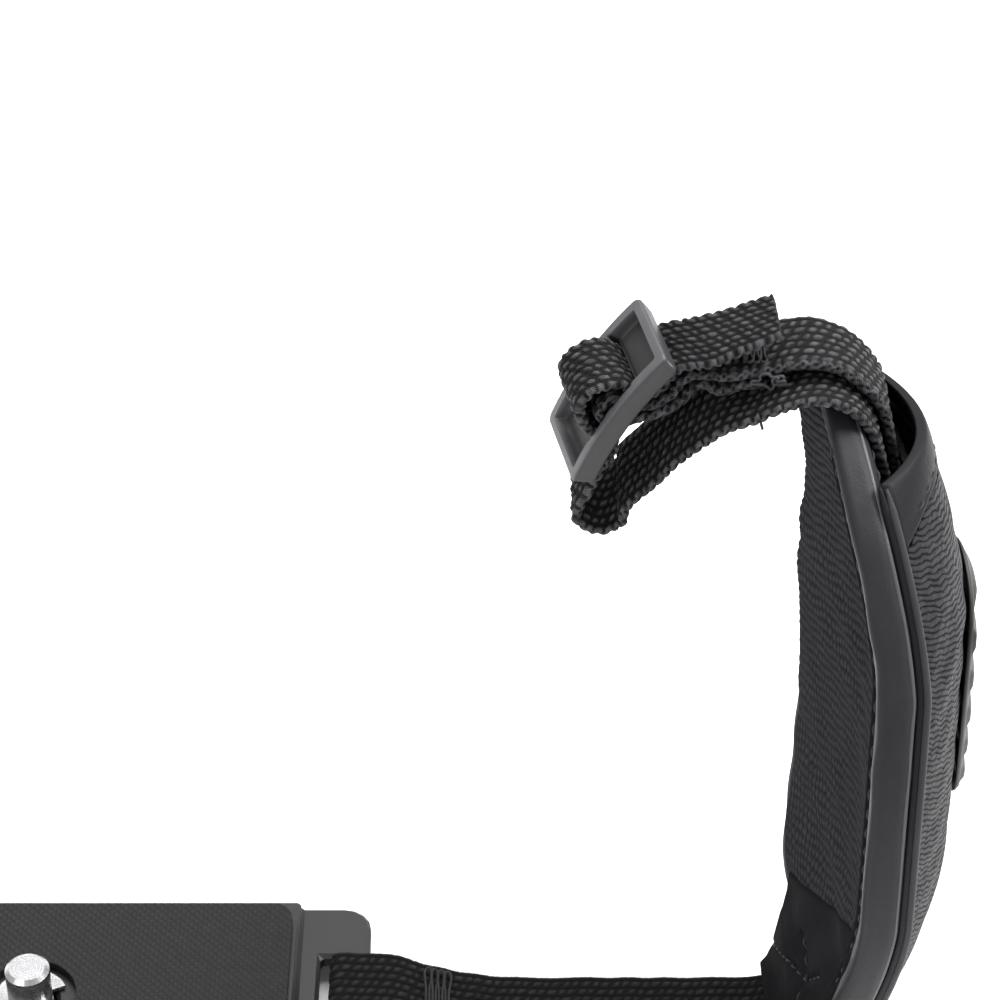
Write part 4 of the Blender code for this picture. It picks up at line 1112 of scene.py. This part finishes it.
def bottom_strap_stops():
    """Channel, out of the pad's foot, along the ground, round the plate's bar."""
    top = SLOT_BAR_Z + SLOT_BAR_THICKNESS / 2 + GAP + STRAP_THICKNESS / 2
    bottom = SLOT_BAR_Z - SLOT_BAR_THICKNESS / 2 - GAP - STRAP_THICKNESS / 2
    bar = PLATE_X_MAX - SLOT_BAR_WIDTH / 2
    inside = PLATE_X_MAX - SLOT_BAR_WIDTH - GAP - STRAP_THICKNESS / 2
    ground = PLATE_UNDERSIDE_Z + STRAP_THICKNESS / 2 + 0.0001
    foot = float(pad_face_x(PAD_FOOT_Y, PAD_FOOT_Z))
    stops = [in_channel(z, LOWER_STRAP_DEPTH, PAD_FOOT_Y) for z in (0.027, 0.020, 0.013)]
    stops += [((x, PAD_FOOT_Y, z), ACROSS_Y) for x, z in (
        (foot + 0.0026, 0.0070), (foot + 0.0004, 0.0025), (foot - 0.0009, -0.0024),
        (foot - 0.0026, -0.0056), (foot - 0.0064, -0.0069), (0.087, ground), (0.070, ground),
        (0.060, ground), (0.053, ground + 0.0008), (0.0465, -0.0046), (0.0415, top - 0.0005),
        (bar, top), (inside + 0.0003, top - 0.0002), (inside, SLOT_BAR_Z),
        (inside + 0.0003, bottom + 0.0002), (bar, bottom), (0.0415, bottom - 0.0001),
        (0.0465, bottom - 0.0004), (0.0500, ground))]
    return stops


def make_straps(finishes):
    # The bottom strap takes the darker webbing copy: painted shade.
    low_width = BOTTOM_STRAP_WIDTH
    for node, name, stops, width, rib, weft, finish in (
            ("lug_strap", "lug_webbing", lug_strap_stops(), STRAP_WIDTH, 1.28, 1.40, "webbing"),
            ("slider_strap", "slider_webbing", slider_strap_stops(), STRAP_WIDTH, 1.50, 1.50,
             "webbing"),
            ("bottom_strap", "bottom_webbing", bottom_strap_stops(), low_width, 1.50, 1.45,
             "shaded_low_webbing")):
        columns = round(width / STRAP_WIDTH * 44)
        piece = woven_strap(name, stops, width, STRAP_THICKNESS, rib, weft, columns)
        dress(piece, finishes[finish], "webbing", node)


def tab_surface(y, z):
    """X of the tab's face: on the cushion's foot, then hanging straight in front of the strap."""
    backs, heights = np.array(TAB_HANG).T
    hanging = PAD_FACE_X - np.interp(z, heights[::-1], backs[::-1]) - TAB_THICKNESS / 2
    on_pad = np.maximum(z, PAD_FOOT_Z + 0.0005)
    lying = pad_face_x(y, on_pad) + cushion_front(y, on_pad) - 0.0007
    return hanging + (lying - hanging) * smooth(z, 0.0050, 0.0125)


def make_tab(finishes):
    """Leather tab from the cushion's foot to the strap's bend, with crossed seams."""
    seams = [np.array(line) for line in TAB_SEAMS]

    def to_seams(y, z):
        found = np.full(y.shape, 1.0)
        for line in seams:
            for start, end in zip(line, line[1:]):
                reach = end - start
                share = ((y - start[0]) * reach[0] + (z - start[1]) * reach[1]) / (reach @ reach)
                share = np.clip(share, 0, 1)
                away = np.hypot(y - start[0] - share * reach[0], z - start[1] - share * reach[1])
                found = np.minimum(found, away)
        return found

    def place(u, v):
        low = TAB_HANG[-1][1] - 0.0004
        z = low + (TAB_FAR_TOP + (TAB_NEAR_TOP - TAB_FAR_TOP) * u ** 1.2 - low) * v
        near = pad_middle_y(z) - pad_half_width(np.maximum(z, PAD_FOOT_Z)) + 0.0014
        y = TAB_FAR_Y + (near - TAB_FAR_Y) * u
        groove = np.exp(-(to_seams(y, z) / TAB_GROOVE_WIDTH) ** 2)
        rim = np.minimum(np.minimum(u, 1 - u) * (TAB_FAR_Y - near), np.minimum(v, 1 - v) * 0.024)
        rolled = 1 - np.sqrt(1 - (1 - np.clip(rim / TAB_ROLL, 0, 1)) ** 2)
        ease = 0.00016 * np.sin(y * 560 + z * 260) * np.clip(rim / 0.003, 0, 1)
        x = tab_surface(y, z) + TAB_GROOVE_DEPTH * groove + 0.0006 * rolled + ease
        return np.stack([x, y, z], axis=-1)

    tab = moved_grid("foot_tab", 110, 120, place)
    points = points_of(tab)
    apply(tab, "SOLIDIFY", thickness=TAB_SHEET, offset=1.0)
    lay_layers(tab, points, points[:, 0] + TAB_SHEET)
    pick(tab)
    bpy.ops.object.shade_smooth()
    # The tab's leather is darkened: painted shade.
    dress(tab, finishes["tab"], "leather", "bottom_tab")
    places = []
    for line in seams:
        steps = np.linspace(0, 1, 50)
        ends = np.linspace(0, 1, len(line))
        y, z = np.interp(steps, ends, line[:, 0]), np.interp(steps, ends, line[:, 1])
        row = np.stack([tab_surface(y, z) + 0.00028, y, z], axis=-1)
        places += stitches_along(row, np.tile([-1.0, 0.0, 0.0], (50, 1)), 0.0026)
    dress(stitch_row("tab_stitches", places, length=0.0018, radius=0.00016), finishes["thread"],
          "thread")


def make_tacks(finishes):
    """Zigzag bar tacks over each fold of webbing, and one loose thread end."""
    def zigzag(name, centre, run, across, out, length, width, rows, node):
        centre, run, across, out = (Vector(item) for item in (centre, run, across, out))
        points = []
        for row in range(rows):
            for part in range(5):
                share = part / 4 * 2 - 1
                side = share if row % 2 == 0 else -share
                bow = out * (0.00010 * math.cos(side * 6.0) + 0.00004 * (row % 3))
                points.append(centre + run * (length * (row / (rows - 1) - 0.5))
                              + across * (side * width / 2) + bow)
        piece = thread_line(name, points, THREAD_RADIUS)
        dress(piece, finishes["thread"], "thread", node)

    top = 0.1028 + STRAP_THICKNESS / 2 + 0.00022
    zigzag("slider_tack", (0.0887, 0.0134, top), (1, 0, 0), (0, 1, 0), (0, 0, 1), 0.0026, 0.0080,
           7, "strap_bar_tack")
    low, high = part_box("bottom_strap_tack")
    middle = (low + high) / 2
    run = Vector((high.x - low.x, 0.0, -(high.z - low.z) + 0.0004)).normalized()
    zigzag("plate_tack", middle, run, (0, 1, 0), (-run.z, 0, run.x), 0.0034, 0.0170, 8,
           "bottom_strap_tack")

    swirl = []
    for step in range(17):
        turn, radius = 1.7 * math.pi * step / 10, 0.0016 - 0.0009 * step / 16
        radius += 0.00045 * math.sin(step * 2.3)
        swirl.append((0.0900 + 0.00007 * step + 1.3 * radius * math.cos(turn),
                      0.0077 - 0.00002 * step, 0.1021 + 0.7 * radius * math.sin(turn)))
    swirl += [(0.0914, 0.0078, 0.1014), (0.0932, 0.0080, 0.1014)]
    dress(thread_line("tack_end", swirl, THREAD_RADIUS), finishes["webbing_end"], "thread")
    loose = [(0.0890, 0.0052, 0.0990), (0.0893, 0.0042, 0.0985), (0.0896, 0.0038, 0.0975)]
    dress(thread_line("loose_thread", loose, 0.00020), finishes["thread"], "thread")


# Hard parts

def grid_lines(edges):
    """Places along one axis: an even step, and closer ones on both sides of each edge."""
    reach = max(edges)
    places = list(np.arange(-reach, reach + SLIDER_STEP / 2, SLIDER_STEP)) + list(edges)
    places += [edge + side * gap for edge in edges for side in (-1, 1)
               for gap in SLIDER_FINE_STEPS]
    places = sorted(place for place in places if abs(place) <= reach + 1e-9)
    kept = [places[0]]
    for place in places[1:]:
        on_edge = min(abs(place - edge) for edge in edges) < 1e-9
        if place - kept[-1] > 0.000012:
            kept.append(place)
        elif on_edge:
            kept[-1] = place
    return np.array(kept)


def make_slider(finishes):
    """One bowed moulding: two slots, a thin middle bar, and a soft rim round a sunk tray."""
    half, edge = SLIDER_LENGTH / 2, SLIDER_WIDTH / 2
    slot_end, bar = half - SLIDER_END_BAR, SLIDER_CENTRE_BAR / 2
    slot_side = edge - SLIDER_SIDE_BAR
    xs = grid_lines((-half, -half + SLIDER_RIM, -slot_end, -bar,
                     bar, slot_end, half - SLIDER_RIM, half))
    ys = grid_lines((-edge, -slot_side, slot_side, edge))
    deselect()
    bpy.ops.mesh.primitive_grid_add(x_subdivisions=len(xs) - 1, y_subdivisions=len(ys) - 1,
                                    size=2.0)
    piece = bpy.context.object
    piece.name = piece.data.name = "strap_slider"
    builder = bmesh.new()
    builder.from_mesh(piece.data)
    for vert in builder.verts:
        vert.co.x = xs[round((vert.co.x + 1) / 2 * (len(xs) - 1))]
        vert.co.y = ys[round((vert.co.y + 1) / 2 * (len(ys) - 1))]
    slots = [face for face in builder.faces
             if bar < abs(face.calc_center_median().x) < slot_end
             and abs(face.calc_center_median().y) < slot_side]
    bmesh.ops.delete(builder, geom=slots, context="FACES")
    copy = bmesh.ops.duplicate(builder, geom=builder.faces[:])
    under = {item for item in copy["geom"] if isinstance(item, bmesh.types.BMVert)}
    under_faces = [item for item in copy["geom"] if isinstance(item, bmesh.types.BMFace)]
    bmesh.ops.reverse_faces(builder, faces=under_faces)
    face_of = np.array([-1.0 if vert in under else 1.0 for vert in builder.verts])
    flat = np.array([vert.co[:] for vert in builder.verts])
    x, y = flat[:, 0], flat[:, 1]

    round_x = np.clip((np.abs(x) - half + SLIDER_CORNER) / SLIDER_CORNER, 0, 1)
    round_y = np.clip((np.abs(y) - edge + SLIDER_CORNER) / SLIDER_CORNER, 0, 1)
    x = np.sign(x) * (np.abs(x) - SLIDER_CORNER * round_x * (1 - np.sqrt(1 - round_y ** 2 / 2)))
    y = np.sign(y) * (np.abs(y) - SLIDER_CORNER * round_y * (1 - np.sqrt(1 - round_x ** 2 / 2)))

    def box_distance(centre, half_x, half_y, corner):
        far_x, far_y = np.abs(x - centre) - half_x + corner, np.abs(y) - half_y + corner
        outside = np.hypot(np.maximum(far_x, 0), np.maximum(far_y, 0))
        return outside + np.minimum(np.maximum(far_x, far_y), 0) - corner

    to_outside = -box_distance(0.0, half, edge, SLIDER_CORNER)
    slot_middle, slot_half = (bar + slot_end) / 2, (slot_end - bar) / 2
    to_slot = np.minimum(box_distance(slot_middle, slot_half, slot_side, 0.0),
                         box_distance(-slot_middle, slot_half, slot_side, 0.0))
    away = np.minimum(to_outside, to_slot)
    turned = np.clip((away - 0.00002) / SLIDER_EDGE_RADIUS, 0, 1)
    edge_drop = SLIDER_EDGE_RADIUS * (1 - np.sqrt(1 - (1 - turned) ** 2))
    tray = box_distance(0.0, half - SLIDER_RIM, slot_side, 0.0005)
    rim = smooth(tray, -0.0005, 0.0)
    thick = SLIDER_THICKNESS / 2
    top = thick - SLIDER_TRAY_DEPTH * (1 - rim)
    in_middle = 1 - smooth(np.maximum(np.abs(x) - slot_end, np.abs(y) - slot_side), -0.0006, 0.0002)
    thin_bar = in_middle * (np.abs(x) < bar + 1e-6)
    top = top + (bar - top) * thin_bar
    bottom = thick + (bar - thick) * thin_bar
    z = np.where(away > 0.00001, face_of * (np.where(face_of > 0, top, bottom) - edge_drop), 0.0)
    at_end = smooth(np.abs(x), slot_end + 0.001, half)
    x = x - np.sign(x) * SLIDER_END_DRAFT * (0.5 - z / SLIDER_THICKNESS) * at_end
    z = z - x ** 2 / (2 * SLIDER_BEND_RADIUS)
    turn = slider_turn()
    # The rim tops are marked to be painted paler: partly wear, partly a painted highlight.
    rim_wear_and_highlight = rim * smooth(away, 0.0, 0.0003) * (face_of > 0) * (1 - thin_bar)
    knob = builder.verts.layers.float.new("knob")
    for vert, place, worn in zip(builder.verts, zip(x, y, z), rim_wear_and_highlight):
        vert.co = Vector(SLIDER_CENTRE) + turn @ Vector(place)
        vert[knob] = worn
    bmesh.ops.remove_doubles(builder, verts=builder.verts[:], dist=2e-6)
    builder.to_mesh(piece.data)
    builder.free()
    pick(piece)
    bpy.ops.object.shade_smooth()
    dress(piece, finishes["slider"], "slider", "slider")


def finish_hard_parts(finishes):
    for node, finish in (("base_plate", "plate"), ("grip_pad", "rubber"),
                         ("tripod_screw", "steel"), ("screw_clip", "steel")):
        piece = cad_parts[node]
        piece.data.materials.clear()
        piece.data.materials.append(finishes[finish])


# Studio

def make_studio():
    scene = bpy.context.scene
    scene.view_settings.view_transform = "Standard"
    target, rise, distance = Vector((0.057, 0.012, 0.080)), math.radians(38.0), 0.400
    camera = bpy.data.cameras.new("photo_camera")
    camera.lens, camera.sensor_width = 111.0, 36.0
    holder = bpy.data.objects.new("photo_camera", camera)
    holder.location = target + distance * Vector((0.0, -math.cos(rise), math.sin(rise)))
    holder.rotation_euler = (math.pi / 2 - rise, 0.0, 0.0)
    scene.collection.objects.link(holder)
    scene.camera = holder

    deselect()
    bpy.ops.mesh.primitive_grid_add(x_subdivisions=8, y_subdivisions=8, size=3.0,
                                    location=(0.05, 0.3, min(cad_low[2], -0.0082) - 0.0001))
    floor = bpy.context.object
    floor.name = "paper_sweep"
    bpy.ops.object.transform_apply(location=True)
    floor.data.materials.append(floor_finish())

    world = bpy.data.worlds.new("studio")
    scene.world = world
    world.use_nodes = True
    world.node_tree.nodes["Background"].inputs["Color"].default_value = (1.0, 1.0, 1.0, 1.0)
    world.node_tree.nodes["Background"].inputs["Strength"].default_value = 0.60

    for name, place, size, power in (
            ("key_softbox", (0.62, 0.10, 0.62), 0.40, 9.0),
            ("top_softbox", (0.10, 0.25, 0.85), 0.60, 9.0),
            ("front_softbox", (-0.45, -0.60, 0.50), 0.50, 2.0)):
        light = bpy.data.lights.new(name, "AREA")
        light.shape, light.size, light.energy = "SQUARE", size, power
        lamp = bpy.data.objects.new(name, light)
        lamp.location = place
        lamp.rotation_euler = (target - Vector(place)).to_track_quat("-Z", "Y").to_euler()
        scene.collection.objects.link(lamp)


def make_finishes():
    return {
        "webbing": webbing_finish("black_webbing", (0.038, 0.038, 0.041)),
        # A darker copy of the webbing for the bottom strap: painted shade.
        "shaded_low_webbing": webbing_finish("shaded_webbing", (0.010, 0.010, 0.011)),
        "cover": pebbled_finish("pebbled_leather", (0.0170, 0.0170, 0.0192), 0.48),
        "leather": leather_finish("smooth_leather", (0.0245, 0.0245, 0.0275), 0.46, 0.10),
        "mouth": leather_finish("mouth_leather", (0.0100, 0.0100, 0.0114), 0.50, 0.10),
        # Pale leather for the band's cord: a painted highlight along the fold.
        "highlight_piping": leather_finish("highlight_leather", (0.070, 0.070, 0.075), 0.40),
        # A paler copy of the leather for the cover's side fold: painted light to offset the shade
        # that the fold sits in.
        "side": leather_finish("lightened_fold_leather", (0.036, 0.036, 0.040), 0.46, 0.10),
        # Darkened leather for the tab and the band's seam tube: painted shade.
        "tab": leather_finish("shadowed_tab_leather", (0.0110, 0.0110, 0.0125), 0.66, 0.004),
        "lining": lining_finish("mesh_lining_cloth", (0.031, 0.031, 0.034)),
        "cloth": cloth_finish("grey_backing", (0.040, 0.042, 0.044)),
        "felt": cloth_finish("grey_felt", (0.060, 0.060, 0.060)),
        "patch": plastic_finish("moulded_patch", (0.009, 0.008, 0.007), 0.50, 3.0),
        "thread": thread_finish("black_thread", (0.016, 0.016, 0.018)),
        "webbing_end": thread_finish("webbing_thread", (0.050, 0.050, 0.054)),
        # The slider's paler rims are partly wear and partly a painted highlight.
        "slider": plastic_finish("slider_plastic", (0.029, 0.029, 0.031), 0.42, 6.0, 0.06, 0.9),
        "plate": plastic_finish("plate_plastic", (0.014, 0.014, 0.015), 0.45, 4.0, 0.15),
        "rubber": rubber_finish("grip_rubber", (0.010, 0.010, 0.010)),
        "steel": steel_finish("plated_steel", (0.55, 0.55, 0.56), 0.28),
    }


def main():
    make_studio()
    finishes = make_finishes()
    make_cushion(finishes)
    make_leather_band(finishes)
    make_cover(finishes)
    make_patch(finishes)
    make_straps(finishes)
    make_tab(finishes)
    make_tacks(finishes)
    make_slider(finishes)
    finish_hard_parts(finishes)


main()
